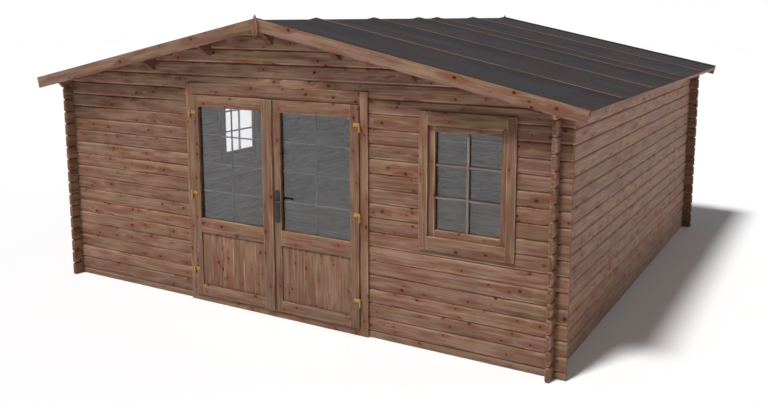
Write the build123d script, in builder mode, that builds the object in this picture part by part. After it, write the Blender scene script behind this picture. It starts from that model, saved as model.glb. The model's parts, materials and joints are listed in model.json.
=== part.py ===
"""Square log cabin with notched log walls, a low gable roof and a double door.

The origin is on the ground at the centre of the plan. +X runs to the right along
the front wall, +Y runs from the front wall to the back wall, and +Z is up.
All lengths are in millimetres.
"""

import os
from math import cos, floor, radians, sin, tan

from build123d import *

# Log walls
cabin_width = 5000.0
cabin_depth = 5000.0
log_height = 114.0
log_thickness = 34.0
log_overhang = 93.0
log_bevel = 12.0
log_end_bevel = 14.0
log_joint_gap = 0.5
side_rows = 16
eave_log_rise = 108.0
notch_share = 0.5
stagger_share = 0.5

# Clearances
fit_gap = 0.3
swing_gap = 5.0
overrun = 40.0

# Roof
roof_pitch = 12.0
roof_board_thickness = 18.0
felt_thickness = 3.0
felt_lap = 60.0
felt_welt_rise = 14.0
felt_seam_shares = (-0.352, -0.157, 0.030, 0.116, 0.312)
verge_projection = 157.0
eave_projection = 237.0
eave_trim_thickness = 14.0
eave_trim_height = 26.0
verge_width = 95.0
verge_thickness = 22.0
verge_rise = 10.0
finial_width = 64.0
finial_height = 190.0
finial_thickness = 18.0
finial_rise = 28.0
finial_shoulder_share = 0.42
finial_taper_share = 0.38
finial_foot_share = 0.24

# Purlins
purlin_width = 45.0
purlin_depth = 145.0
ridge_purlin_depth = 157.0
purlin_spacing = 650.0
purlin_end_run = 140.0
purlin_end_rise = 90.0

# Door frame
door_frame_half_width = 916.0
door_jamb_width = 67.0
door_head_height = 96.0
door_rows = 16
door_log_lap = 40.0
door_head_lap = 50.0
frame_proud = 18.0
door_stop_width = 18.0
threshold_height = 60.0
threshold_lip = 14.0

# Door leaves
leaf_thickness = 40.0
leaf_proud = 34.0
meeting_centre = 32.0
meeting_gap = 8.0
hinge_stile = 77.0
left_meeting_stile = 111.0
right_meeting_stile = 64.0
bottom_rail = 93.0
middle_rail = 125.0
top_rail = 100.0
panel_height = 474.0
panel_thickness = 16.0
panel_setback = 12.0
panel_boards = 6
panel_bevel = 3.0
panel_tongue = 8.0
glass_thickness = 4.0
glass_setback = 26.0
glass_bite = 8.0
door_bar_width = 12.0
door_panes_across = 2
door_panes_up = 4
cover_strip_width = 97.0
cover_strip_thickness = 16.0
cover_strip_bevel = 4.0

# Hinges
hinge_height_shares = (0.119, 0.507, 0.904)
hinge_axis_inset = 12.0
hinge_radius = 7.5
hinge_knuckle = 34.0
hinge_pin_radius = 4.0
hinge_leaf_length = 58.0
hinge_leaf_height = 28.0
hinge_leaf_thickness = 3.0
hinge_strap_width = 14.0
hinge_strap_thickness = 3.0
hinge_play = 0.4
barrel_sides = 10

# Door handle
handle_height_share = 0.506
handle_plate_width = 46.0
handle_plate_height = 276.0
handle_plate_thickness = 6.0
handle_plate_bevel = 14.0
lever_rise = 52.0
lever_length = 86.0
lever_reach = 54.0
lever_radius = 8.5
lever_neck_radius = 9.0
spindle_radius = 4.0
spindle_play = 0.5

# Windows
window_width = 754.0
window_jamb = 70.0
window_board = 100.0
window_log_lap = 40.0
window_top_lap = 50.0
window_bottom_lap = 65.0
window_rows = 8
window_sill_rows = 7
front_window_share = 0.545
left_window_centre = 0.0
sash_width = 48.0
sash_thickness = 42.0
sash_setback = 26.0
sash_glass_setback = 30.0
window_bar_width = 18.0
window_bar_setback = 11.0
window_panes_across = 2
window_panes_up = 3

# Floor
floor_board_thickness = 18.0
floor_bearer_height = 40.0
floor_bearer_width = 60.0
floor_bearers_count = 9
floor_edge_gap = 5.0

# Places worked out from the sizes above
half_width = cabin_width / 2 - log_overhang
half_depth = cabin_depth / 2 - log_overhang
side_log_x = half_width - log_thickness / 2
cross_log_y = half_depth - log_thickness / 2
slope = tan(radians(roof_pitch))
pitch_cos = cos(radians(roof_pitch))
pitch_sin = sin(radians(roof_pitch))
plate_z = side_rows * log_height + eave_log_rise
ridge_z = plate_z + slope * half_width
board_rise = roof_board_thickness / pitch_cos
felt_rise = felt_thickness / pitch_cos
felt_top_z = ridge_z + board_rise + felt_rise + fit_gap
verge_top_z = felt_top_z + verge_rise
eave_x = half_width + eave_projection
verge_y = half_depth + verge_projection
last_cross_row = floor((ridge_z - log_joint_gap) / log_height + stagger_share)
door_opening_half = door_frame_half_width - door_log_lap
door_opening_z = (door_rows + stagger_share) * log_height
door_frame_z = door_opening_z + door_head_lap
frame_depth = log_thickness + 2 * frame_proud
leaf_edge_x = door_frame_half_width - door_jamb_width - swing_gap
leaf_bottom_z = threshold_height + swing_gap
leaf_top_z = door_frame_z - door_head_height - swing_gap
leaf_height = leaf_top_z - leaf_bottom_z
hinge_axis_x = leaf_edge_x + hinge_axis_inset
hinge_axis_out = leaf_proud + hinge_radius + fit_gap
left_meeting_x = meeting_centre - meeting_gap / 2
right_meeting_x = meeting_centre + meeting_gap / 2
stop_out = leaf_proud - leaf_thickness - swing_gap
glass_bottom_z = leaf_bottom_z + bottom_rail + panel_height + middle_rail
hinge_places = [leaf_bottom_z + share * leaf_height for share in hinge_height_shares]
hinge_axis_y = -half_depth - hinge_axis_out
handle_x = right_meeting_x + right_meeting_stile / 2
handle_z = leaf_bottom_z + handle_height_share * leaf_height
lever_z = handle_z + lever_rise
spindle_bore = spindle_radius + spindle_play
front_window_centre = door_frame_half_width + front_window_share * (half_width - door_frame_half_width)
window_left_x = front_window_centre - window_width / 2 + window_log_lap
window_right_x = front_window_centre + window_width / 2 - window_log_lap
window_last_row = window_sill_rows + window_rows
purlin_places = {
    "ridge_purlin": 0,
    "left_upper_purlin": -purlin_spacing,
    "left_lower_purlin": -2 * purlin_spacing,
    "right_upper_purlin": purlin_spacing,
    "right_lower_purlin": 2 * purlin_spacing,
}
front_plane = Plane(origin=(0, -half_depth, 0), x_dir=(1, 0, 0), z_dir=(0, -1, 0))
left_plane = Plane(origin=(-half_width, 0, 0), x_dir=(0, -1, 0), z_dir=(-1, 0, 0))

os.makedirs("parts", exist_ok=True)


def save(piece, name):
    """Label one finished sub-part and write its STEP file."""
    piece.label = name
    export_step(piece, f"parts/{name}.step")


def roof_under(x):
    """Height of the underside of the roof boards at a distance x from the ridge."""
    return ridge_z - slope * abs(x)


def slab(plane, across, up, out, mode=Mode.ADD):
    """Block on a wall plane from its limits across, up and out from the wall's face."""
    with BuildSketch(plane.offset(out[1])) as face:
        with Locations(((across[0] + across[1]) / 2, (up[0] + up[1]) / 2)):
            Rectangle(across[1] - across[0], up[1] - up[0])
    extrude(face.sketch, amount=out[0] - out[1], mode=mode)


def side_row(row):
    """Bottom and top of one log of the left and right walls."""
    return row * log_height, (row + 1) * log_height - log_joint_gap


def cross_row(row):
    """Bottom and top of one log of the front and back walls, half a log out of step."""
    bottom = (row - stagger_share) * log_height
    return max(0, bottom), bottom + log_height - log_joint_gap


def log_stack(plane, centre, rows, length):
    """Stack of logs with bevelled edges, pulled along the plane's normal."""
    with BuildSketch(plane) as section:
        for bottom, top in rows:
            with Locations((centre, (bottom + top) / 2)):
                Rectangle(log_thickness, top - bottom)
        chamfer(section.vertices(), length=log_bevel)
    extrude(section.sketch, amount=length)


def cross_logs(centre, start, end, first, last):
    """Logs of a front or back wall between two places along X."""
    rows = [cross_row(row) for row in range(first, last + 1)]
    log_stack(Plane.YZ.offset(start), centre, rows, end - start)


def side_logs(centre, start, end, first, last):
    """Logs of a left or right wall between two places along Y."""
    rows = [side_row(row) for row in range(first, last + 1)]
    log_stack(Plane.XZ.offset(-end), centre, rows, end - start)


def bevel_ends(plane, places, depth):
    """Bevel the edges of log ends with square bars set cornerwise on them."""
    with BuildSketch(plane) as bars:
        with Locations(*places):
            RegularPolygon(log_end_bevel, 4)
    extrude(bars.sketch, amount=depth, both=True, mode=Mode.SUBTRACT)


def bevel_cross_ends(centre, sides, first, last):
    """Bevel the free log ends of a front or back wall where two rows meet."""
    rows = [cross_row(row)[0] for row in range(first, last + 2)]
    ends = [side * cabin_width / 2 for side in sides]
    bevel_ends(Plane.XZ.offset(-centre), [(end, row) for end in ends for row in rows], log_thickness)


def bevel_side_ends(centre):
    """Bevel the free log ends of a left or right wall where two rows meet."""
    rows = [side_row(row)[0] for row in range(side_rows + 1)]
    ends = (-cabin_depth / 2, cabin_depth / 2)
    bevel_ends(Plane.YZ.offset(centre), [(end, row) for end in ends for row in rows], log_thickness)


def notch_cross_logs(centre, sides, first, last):
    """Cut the crossing notches of a front or back wall, above and below each neck."""
    places = [(side * side_log_x, centre, (row + stagger_share) * log_height)
              for side in sides for row in range(first, last + 1)]
    with Locations(*places):
        Box(log_thickness + 2 * fit_gap, log_thickness + overrun,
            log_height * notch_share + fit_gap, mode=Mode.SUBTRACT)


def notch_side_logs(centre, last):
    """Cut the crossing notches of a left or right wall, above and below each neck."""
    places = [(centre, end * cross_log_y, row * log_height)
              for end in (-1, 1) for row in range(last + 1)]
    with Locations(*places):
        Box(log_thickness + overrun, log_thickness + 2 * fit_gap,
            log_height * notch_share + fit_gap, mode=Mode.SUBTRACT)


def cut_above_roof(centre):
    """Cut a gable to the slope of the roof boards."""
    reach = cabin_width / 2 + overrun
    with BuildSketch(Plane.XZ.offset(-centre)) as above:
        with BuildLine():
            Polyline((-reach, roof_under(reach) - fit_gap), (0, ridge_z - fit_gap),
                     (reach, roof_under(reach) - fit_gap), (reach, ridge_z + log_height),
                     (-reach, ridge_z + log_height), close=True)
        make_face()
    extrude(above.sketch, amount=log_thickness, both=True, mode=Mode.SUBTRACT)


def purlin_bottom(x):
    """Height of a purlin's underside at its place across the roof."""
    return roof_under(x) - (purlin_depth if x else ridge_purlin_depth)


def cut_purlin_pockets(centre):
    """Cut the pockets that carry the purlins through a gable."""
    for x in purlin_places.values():
        bottom = purlin_bottom(x) - fit_gap
        with Locations((x, centre, (bottom + ridge_z + log_height) / 2)):
            Box(purlin_width + 2 * fit_gap, log_thickness + overrun,
                ridge_z + log_height - bottom, mode=Mode.SUBTRACT)


# Front wall, in two runs of logs beside the doorway
with BuildPart() as front_wall_left:
    cross_logs(-cross_log_y, -cabin_width / 2, -door_opening_half, 0, door_rows)
    bevel_cross_ends(-cross_log_y, (-1,), 0, door_rows)
    notch_cross_logs(-cross_log_y, (-1,), 0, door_rows)
save(front_wall_left.part, "front_wall_left")

with BuildPart() as front_wall_right:
    cross_logs(-cross_log_y, door_opening_half, cabin_width / 2, 0, window_sill_rows)
    cross_logs(-cross_log_y, door_opening_half, window_left_x, window_sill_rows + 1, window_last_row)
    cross_logs(-cross_log_y, window_right_x, cabin_width / 2, window_sill_rows + 1, window_last_row)
    cross_logs(-cross_log_y, door_opening_half, cabin_width / 2, window_last_row + 1, door_rows)
    bevel_cross_ends(-cross_log_y, (1,), 0, door_rows)
    notch_cross_logs(-cross_log_y, (1,), 0, door_rows)
save(front_wall_right.part, "front_wall_right")

# Back wall, in one run of logs from corner to corner
with BuildPart() as back_wall:
    cross_logs(cross_log_y, -cabin_width / 2, cabin_width / 2, 0, door_rows)
    bevel_cross_ends(cross_log_y, (-1, 1), 0, door_rows)
    notch_cross_logs(cross_log_y, (-1, 1), 0, door_rows)
save(back_wall.part, "back_wall")

# Gables, cut to the roof and pocketed for the purlins
for name, centre in (("front_gable", -cross_log_y), ("back_gable", cross_log_y)):
    with BuildPart() as gable:
        cross_logs(centre, -cabin_width / 2, cabin_width / 2, door_rows + 1, last_cross_row)
        bevel_cross_ends(centre, (-1, 1), door_rows + 1, door_rows)
        notch_cross_logs(centre, (-1, 1), door_rows, door_rows)
        cut_above_roof(centre)
        cut_purlin_pockets(centre)
    save(gable.part, name)


def eave_log(side):
    """Top log of a side wall, planed to the roof and run on to the verges."""
    outer_x = side * half_width
    inner_x = side * (half_width - log_thickness)
    bottom = side_rows * log_height
    with BuildSketch(Plane.XZ.offset(verge_y - fit_gap)) as section:
        with BuildLine():
            Polyline((outer_x, bottom + log_bevel), (outer_x, plate_z - fit_gap),
                     (inner_x, roof_under(inner_x) - fit_gap), (inner_x, bottom + log_bevel),
                     (inner_x + side * log_bevel, bottom), (outer_x - side * log_bevel, bottom),
                     close=True)
        make_face()
    extrude(section.sketch, amount=2 * (fit_gap - verge_y))
    run_on = verge_y - fit_gap - cabin_depth / 2
    with BuildSketch(Plane.YZ.offset(side * side_log_x)) as end_cuts:
        for end in (-1, 1):
            with BuildLine():
                Polyline((end * cabin_depth / 2, bottom), (end * (verge_y + run_on), bottom),
                         (end * (verge_y + run_on), bottom + 2 * run_on), close=True)
            make_face()
    extrude(end_cuts.sketch, amount=log_thickness, both=True, mode=Mode.SUBTRACT)


# Side walls, the left one split round its window
with BuildPart() as left_wall:
    window_start = left_window_centre - window_width / 2 + window_log_lap
    window_end = left_window_centre + window_width / 2 - window_log_lap
    side_logs(-side_log_x, -cabin_depth / 2, cabin_depth / 2, 0, window_sill_rows - 1)
    side_logs(-side_log_x, -cabin_depth / 2, window_start, window_sill_rows, window_last_row - 1)
    side_logs(-side_log_x, window_end, cabin_depth / 2, window_sill_rows, window_last_row - 1)
    side_logs(-side_log_x, -cabin_depth / 2, cabin_depth / 2, window_last_row, side_rows - 1)
    bevel_side_ends(-side_log_x)
    eave_log(-1)
    notch_side_logs(-side_log_x, side_rows + 1)
save(left_wall.part, "left_wall")

with BuildPart() as right_wall:
    side_logs(side_log_x, -cabin_depth / 2, cabin_depth / 2, 0, side_rows - 1)
    bevel_side_ends(side_log_x)
    eave_log(1)
    notch_side_logs(side_log_x, side_rows + 1)
save(right_wall.part, "right_wall")

# Purlins, planed to the roof above and cut back under their ends
for name, x in purlin_places.items():
    left_x = x - purlin_width / 2
    right_x = x + purlin_width / 2
    top_points = [(right_x, roof_under(right_x) - fit_gap), (left_x, roof_under(left_x) - fit_gap)]
    if not x:
        top_points.insert(1, (x, ridge_z - fit_gap))
    with BuildPart() as purlin:
        with BuildSketch(Plane.XZ.offset(verge_y - fit_gap)):
            with BuildLine():
                Polyline((left_x, purlin_bottom(x)), (right_x, purlin_bottom(x)), *top_points, close=True)
            make_face()
        extrude(amount=2 * (fit_gap - verge_y))
        underside = purlin.faces().sort_by(Axis.Z)[0]
        chamfer(underside.edges().filter_by(Axis.X), length=purlin_end_run, length2=purlin_end_rise,
                reference=underside)
    save(purlin.part, name)

# Roof boards, one slope on each side of the ridge
boards_run = (eave_x - eave_trim_thickness - fit_gap) / pitch_cos
for name, side in (("roof_boards_left", -1), ("roof_boards_right", 1)):
    with BuildPart() as boards:
        with BuildSketch(Plane.YZ.offset(side * fit_gap)):
            with Locations((0, ridge_z - slope * fit_gap + board_rise / 2)):
                Rectangle(2 * (verge_y - fit_gap), board_rise)
        extrude(amount=boards_run, dir=(side * pitch_cos, 0, -pitch_sin))
    save(boards.part, name)

# Eave trims along the lower edges of the roof boards
for name, side in (("left_eave_trim", -1), ("right_eave_trim", 1)):
    inner_x = eave_x - eave_trim_thickness
    top_inner = roof_under(inner_x) + board_rise
    top_outer = roof_under(eave_x) + board_rise
    with BuildPart() as trim:
        with BuildSketch(Plane.XZ.offset(verge_y - fit_gap)):
            with BuildLine():
                Polyline((side * inner_x, top_inner), (side * eave_x, top_outer),
                         (side * eave_x, top_outer - eave_trim_height),
                         (side * inner_x, top_outer - eave_trim_height), close=True)
            make_face()
        extrude(amount=2 * (fit_gap - verge_y))
    save(trim.part, name)

# Roof felt, in sheets laid over the ridge from eave to eave, each lapped over the next in a raised welt
felt_y = verge_y - fit_gap
felt_z = ridge_z + board_rise + fit_gap
seams = [share * cabin_depth for share in felt_seam_shares]
starts = [-felt_y] + [seam + log_joint_gap for seam in seams]
with BuildPart() as roof_felt:
    for start, seam in zip(starts, seams + [felt_y]):
        lap_z = felt_z + felt_rise + fit_gap
        outline = [(start, felt_z + felt_rise), (start, felt_z), (seam, felt_z)]
        if seam < felt_y:
            outline += [(seam, lap_z), (seam + felt_lap, lap_z), (seam + felt_lap, lap_z + felt_rise),
                        (seam, lap_z + felt_rise + felt_welt_rise), (seam - felt_lap, felt_z + felt_rise)]
        else:
            outline += [(seam, felt_z + felt_rise)]
        with BuildSketch(Plane.YZ) as sheet:
            with BuildLine():
                Polyline(*outline, close=True)
            make_face()
        for side in (-1, 1):
            extrude(sheet.sketch, amount=eave_x / pitch_cos, dir=(side * pitch_cos, 0, -pitch_sin))
save(roof_felt.part, "roof_felt")

# Verge boards and finials at both gables
verge_drop = verge_width / pitch_cos
for name, end in (("front", -1), ("back", 1)):
    inner_y = end * verge_y
    outer_y = end * (verge_y + verge_thickness)
    with BuildPart() as verge_boards:
        with BuildSketch(Plane.XZ.offset(-inner_y)):
            for side in (-1, 1):
                near_x = side * fit_gap / 2
                far_x = side * eave_x
                near_z = verge_top_z - slope * abs(near_x)
                far_z = verge_top_z - slope * abs(far_x)
                foot_x = far_x - side * verge_width * pitch_sin
                foot_z = far_z - verge_width * pitch_cos
                with BuildLine():
                    Polyline((near_x, near_z), (far_x, far_z), (foot_x, foot_z),
                             (near_x, near_z - verge_drop), close=True)
                make_face()
        extrude(amount=-end * verge_thickness)
    save(verge_boards.part, f"{name}_verge_boards")

    tip_z = verge_top_z + finial_rise
    toe_z = tip_z - finial_height
    with BuildPart() as finial:
        with BuildSketch(Plane.XZ.offset(-outer_y - end * fit_gap)):
            with BuildLine():
                Polyline((0, tip_z), (finial_width / 2, tip_z - finial_height * finial_shoulder_share),
                         (finial_width / 2, toe_z + finial_height * finial_taper_share),
                         (finial_width / 2 * finial_foot_share, toe_z), (0, toe_z))
                mirror(about=Plane.YZ)
            make_face()
        extrude(amount=-end * finial_thickness)
    save(finial.part, f"{name}_finial")


def cut_wall(plane, across, up):
    """Cut a slot for the logs out of a frame piece."""
    slab(plane, across, up, (-log_thickness - fit_gap, fit_gap), mode=Mode.SUBTRACT)


# Door frame, slotted round the ends of the logs and rebated for the leaves
frame_out = (frame_proud - frame_depth, frame_proud)
for name, side in (("door_left_jamb", -1), ("door_right_jamb", 1)):
    inner_x = door_frame_half_width - door_jamb_width
    opening = sorted((side * inner_x, side * door_frame_half_width))
    stop = sorted((side * (inner_x - door_stop_width), side * door_frame_half_width))
    slot = sorted((side * (door_opening_half - fit_gap), side * (door_frame_half_width + overrun)))
    with BuildPart() as jamb:
        slab(front_plane, opening, (0, door_frame_z), frame_out)
        slab(front_plane, stop, (0, door_frame_z), (frame_out[0], stop_out))
        cut_wall(front_plane, slot, (-overrun, door_frame_z + overrun))
        cut_wall(front_plane, sorted((0, side * (door_frame_half_width + overrun))),
                 (door_opening_z - fit_gap, door_frame_z + overrun))
    save(jamb.part, name)

jamb_inner_x = door_frame_half_width - door_jamb_width - fit_gap
stop_inner_x = jamb_inner_x - door_stop_width
head_z = door_frame_z - door_head_height
with BuildPart() as door_head:
    slab(front_plane, (-jamb_inner_x, jamb_inner_x), (head_z, door_frame_z), (stop_out, frame_proud))
    slab(front_plane, (-stop_inner_x, stop_inner_x), (head_z - door_stop_width, door_frame_z),
         (frame_out[0], stop_out))
    cut_wall(front_plane, (-door_frame_half_width, door_frame_half_width),
             (door_opening_z - fit_gap, door_frame_z + overrun))
save(door_head.part, "door_head")

with BuildPart() as door_threshold:
    slab(front_plane, (-jamb_inner_x, jamb_inner_x), (0, threshold_height), (stop_out, frame_proud))
    slab(front_plane, (-stop_inner_x, stop_inner_x), (0, threshold_height + threshold_lip),
         (frame_out[0], stop_out))
save(door_threshold.part, "door_threshold")


def glazing_bars(plane, across, up, out, panes_across, panes_up, width):
    """Bars over a pane: uprights from rail to rail, and level bars between them."""
    step = (across[1] - across[0]) / panes_across
    uprights = [across[0] + step * place for place in range(1, panes_across)]
    for middle in uprights:
        slab(plane, (middle - width / 2, middle + width / 2), up, out)
    starts = [across[0]] + [middle + width / 2 + fit_gap for middle in uprights]
    ends = [middle - width / 2 - fit_gap for middle in uprights] + [across[1]]
    for place in range(1, panes_up):
        level = up[0] + (up[1] - up[0]) * place / panes_up
        for start, end in zip(starts, ends):
            slab(plane, (start, end), (level - width / 2, level + width / 2), out)


def leaf_frame(hinge_x, meeting_x, meeting_stile):
    """Stiles, rails and glazing bars of one door leaf, ploughed for its glass and its boarded panel."""
    side = 1 if meeting_x > hinge_x else -1
    leaf_out = (leaf_proud - leaf_thickness, leaf_proud)
    inner = (hinge_x + side * hinge_stile, meeting_x - side * meeting_stile)
    slab(front_plane, sorted((hinge_x, inner[0])), (leaf_bottom_z, leaf_top_z), leaf_out)
    slab(front_plane, sorted((inner[1], meeting_x)), (leaf_bottom_z, leaf_top_z), leaf_out)
    between = sorted((inner[0] + side * fit_gap, inner[1] - side * fit_gap))
    panel_z = leaf_bottom_z + bottom_rail
    for bottom, top in ((leaf_bottom_z, panel_z),
                        (panel_z + panel_height, glass_bottom_z),
                        (leaf_top_z - top_rail, leaf_top_z)):
        slab(front_plane, between, (bottom, top), leaf_out)
    panel_across = (min(inner) - panel_tongue, max(inner) + panel_tongue)
    panel_front = leaf_proud - panel_setback + fit_gap
    slab(front_plane, panel_across, (panel_z - panel_tongue, panel_z + panel_height + panel_tongue),
         (panel_front - panel_thickness - 2 * fit_gap, panel_front), mode=Mode.SUBTRACT)
    glass_across = (min(inner) - glass_bite, max(inner) + glass_bite)
    glass_front = leaf_proud - glass_setback + fit_gap
    glass_back = glass_front - glass_thickness - 2 * fit_gap
    slab(front_plane, glass_across, (glass_bottom_z - glass_bite, leaf_top_z - top_rail + glass_bite),
         (glass_back, glass_front), mode=Mode.SUBTRACT)
    glazing_bars(front_plane, between, (glass_bottom_z + fit_gap, leaf_top_z - top_rail - fit_gap),
                 (leaf_out[0], glass_back), door_panes_across, door_panes_up, door_bar_width)


def leaf_panel(hinge_x, meeting_x, meeting_stile):
    """Upright boards in the lower part of one door leaf, with bevelled edges."""
    side = 1 if meeting_x > hinge_x else -1
    ends = sorted((hinge_x + side * (hinge_stile - panel_tongue + fit_gap),
                   meeting_x - side * (meeting_stile - panel_tongue + fit_gap)))
    board = (ends[1] - ends[0]) / panel_boards
    bottom = leaf_bottom_z + bottom_rail - panel_tongue + fit_gap
    height = panel_height + 2 * (panel_tongue - fit_gap)
    middle = -half_depth - leaf_proud + panel_setback + panel_thickness / 2
    with BuildSketch(Plane.XY.offset(bottom)) as section:
        with Locations(((ends[0] + ends[1]) / 2, middle)):
            with GridLocations(board, 0, panel_boards, 1):
                Rectangle(board - log_joint_gap, panel_thickness)
        chamfer(section.vertices(), length=panel_bevel)
    extrude(section.sketch, amount=height)


def leaf_glass(hinge_x, meeting_x, meeting_stile):
    """Pane of one door leaf, seated in the groove of its stiles and rails."""
    side = 1 if meeting_x > hinge_x else -1
    across = sorted((hinge_x + side * (hinge_stile - glass_bite + fit_gap),
                     meeting_x - side * (meeting_stile - glass_bite + fit_gap)))
    front = leaf_proud - glass_setback
    slab(front_plane, across,
         (glass_bottom_z - glass_bite + fit_gap, leaf_top_z - top_rail + glass_bite - fit_gap),
         (front - glass_thickness, front))


def barrel(x, bottom, radius, mode=Mode.ADD):
    """Faceted knuckle, pin or bore of a hinge, one knuckle high on its axis."""
    with BuildSketch(Plane.XY.offset(bottom)) as section:
        with Locations((x, hinge_axis_y)):
            RegularPolygon(radius, barrel_sides, major_radius=False)
    extrude(section.sketch, amount=hinge_knuckle, mode=mode)


def leaf_hinges(side):
    """Upper knuckles of one leaf's hinges, each with its plate on the leaf's face."""
    axis_x = side * hinge_axis_x
    plate_x = side * (hinge_axis_x - hinge_leaf_length)
    plate_out = leaf_proud + fit_gap
    for z in hinge_places:
        barrel(axis_x, z, hinge_radius)
        slab(front_plane, sorted((axis_x, plate_x)),
             (z + hinge_knuckle - hinge_leaf_height, z + hinge_knuckle),
             (plate_out, plate_out + hinge_leaf_thickness))
        barrel(axis_x, z, hinge_pin_radius + hinge_play, mode=Mode.SUBTRACT)


def frame_hinges():
    """Lower knuckles of all the hinges, each with its pin and its strap back to the frame."""
    strap_out = (frame_proud + fit_gap, hinge_axis_out)
    plate_out = (frame_proud + fit_gap, frame_proud + fit_gap + hinge_strap_thickness)
    for side in (-1, 1):
        axis_x = side * hinge_axis_x
        inner_x = side * (hinge_axis_x - hinge_strap_thickness / 2)
        strap_x = side * (hinge_axis_x + hinge_strap_thickness / 2)
        plate_x = side * (hinge_axis_x + hinge_strap_width)
        for z in hinge_places:
            bottom = z - hinge_play - hinge_knuckle
            barrel(axis_x, bottom, hinge_radius)
            barrel(axis_x, z - hinge_play, hinge_pin_radius)
            slab(front_plane, sorted((inner_x, strap_x)), (bottom, bottom + hinge_knuckle), strap_out)
            slab(front_plane, sorted((inner_x, plate_x)), (bottom, bottom + hinge_knuckle), plate_out)


# Hinge knuckles and pins on the door frame
with BuildPart() as door_frame_hinges:
    frame_hinges()
save(door_frame_hinges.part, "door_frame_hinges")

# Left leaf
with BuildPart() as left_door_frame:
    leaf_frame(-leaf_edge_x, left_meeting_x, left_meeting_stile)
save(left_door_frame.part, "left_door_frame")

with BuildPart() as left_door_panel:
    leaf_panel(-leaf_edge_x, left_meeting_x, left_meeting_stile)
save(left_door_panel.part, "left_door_panel")

with BuildPart() as left_door_glass:
    leaf_glass(-leaf_edge_x, left_meeting_x, left_meeting_stile)
save(left_door_glass.part, "left_door_glass")

with BuildPart() as left_door_cover_strip:
    slab(front_plane, (left_meeting_x - cover_strip_width, left_meeting_x), (leaf_bottom_z, leaf_top_z),
         (leaf_proud + fit_gap, leaf_proud + fit_gap + cover_strip_thickness))
    face = left_door_cover_strip.faces().sort_by(Axis.Y)[0]
    chamfer(face.edges().filter_by(Axis.Z), length=cover_strip_bevel)
save(left_door_cover_strip.part, "left_door_cover_strip")

with BuildPart() as left_door_hinges:
    leaf_hinges(-1)
save(left_door_hinges.part, "left_door_hinges")

# Right leaf, bored for the spindle of the handle
with BuildPart() as right_door_frame:
    leaf_frame(leaf_edge_x, right_meeting_x, right_meeting_stile)
    with BuildSketch(front_plane.offset(leaf_proud + overrun)):
        with Locations((handle_x, lever_z)):
            RegularPolygon(spindle_bore, barrel_sides, major_radius=False)
    extrude(amount=-leaf_thickness - 2 * overrun, mode=Mode.SUBTRACT)
save(right_door_frame.part, "right_door_frame")

with BuildPart() as right_door_panel:
    leaf_panel(leaf_edge_x, right_meeting_x, right_meeting_stile)
save(right_door_panel.part, "right_door_panel")

with BuildPart() as right_door_glass:
    leaf_glass(leaf_edge_x, right_meeting_x, right_meeting_stile)
save(right_door_glass.part, "right_door_glass")

with BuildPart() as right_door_hinges:
    leaf_hinges(1)
save(right_door_hinges.part, "right_door_hinges")

# Handle plates with cut corners, one on each face of the stile
with BuildPart() as door_handle_plates:
    for base, grow in ((leaf_proud + fit_gap, 1), (leaf_proud - leaf_thickness - fit_gap, -1)):
        with BuildSketch(front_plane.offset(base)):
            with Locations((handle_x, handle_z)):
                plate = Rectangle(handle_plate_width, handle_plate_height)
            chamfer(plate.vertices(), length=handle_plate_bevel)
            with Locations((handle_x, lever_z)):
                RegularPolygon(spindle_bore, barrel_sides, major_radius=False, mode=Mode.SUBTRACT)
        extrude(amount=grow * handle_plate_thickness)
save(door_handle_plates.part, "door_handle_plates")

# Lever handles, inner and outer, on one spindle
with BuildPart() as door_lever:
    outer_face = leaf_proud + handle_plate_thickness + 2 * fit_gap
    inner_face = leaf_proud - leaf_thickness - handle_plate_thickness - 2 * fit_gap
    with BuildSketch(front_plane.offset(inner_face - fit_gap)):
        with Locations((handle_x, lever_z)):
            RegularPolygon(spindle_radius, barrel_sides, major_radius=False)
    extrude(amount=outer_face - inner_face + 2 * fit_gap)
    for base, grow in ((outer_face, 1), (inner_face, -1)):
        with BuildSketch(front_plane.offset(base)):
            with Locations((handle_x, lever_z)):
                RegularPolygon(lever_neck_radius, barrel_sides)
        extrude(amount=grow * lever_reach)
        with BuildSketch(Plane.YZ.offset(handle_x - lever_neck_radius)):
            with Locations((-half_depth - base - grow * (lever_reach - lever_radius), lever_z)):
                RegularPolygon(lever_radius, barrel_sides)
        extrude(amount=lever_length + lever_neck_radius)
save(door_lever.part, "door_lever")


def window_frame(plane, centre, opening_bottom, opening_top):
    """Side boards, head and sill of a window, slotted round the logs."""
    left = centre - window_width / 2
    right = centre + window_width / 2
    bottom = opening_bottom - window_bottom_lap
    top = opening_top + window_top_lap
    for side, outer in ((-1, left), (1, right)):
        slab(plane, sorted((outer, outer - side * window_jamb)), (bottom, top), frame_out)
    between = (left + window_jamb + fit_gap, right - window_jamb - fit_gap)
    slab(plane, between, (bottom, bottom + window_board), frame_out)
    slab(plane, between, (top - window_board, top), frame_out)
    wide = (left - overrun, right + overrun)
    cut_wall(plane, wide, (opening_top - fit_gap, top + overrun))
    cut_wall(plane, wide, (bottom - overrun, opening_bottom - log_joint_gap + fit_gap))
    for side, outer in ((-1, left), (1, right)):
        lap = outer - side * (window_log_lap + fit_gap)
        cut_wall(plane, sorted((lap, outer + side * overrun)), (bottom, top))


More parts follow.
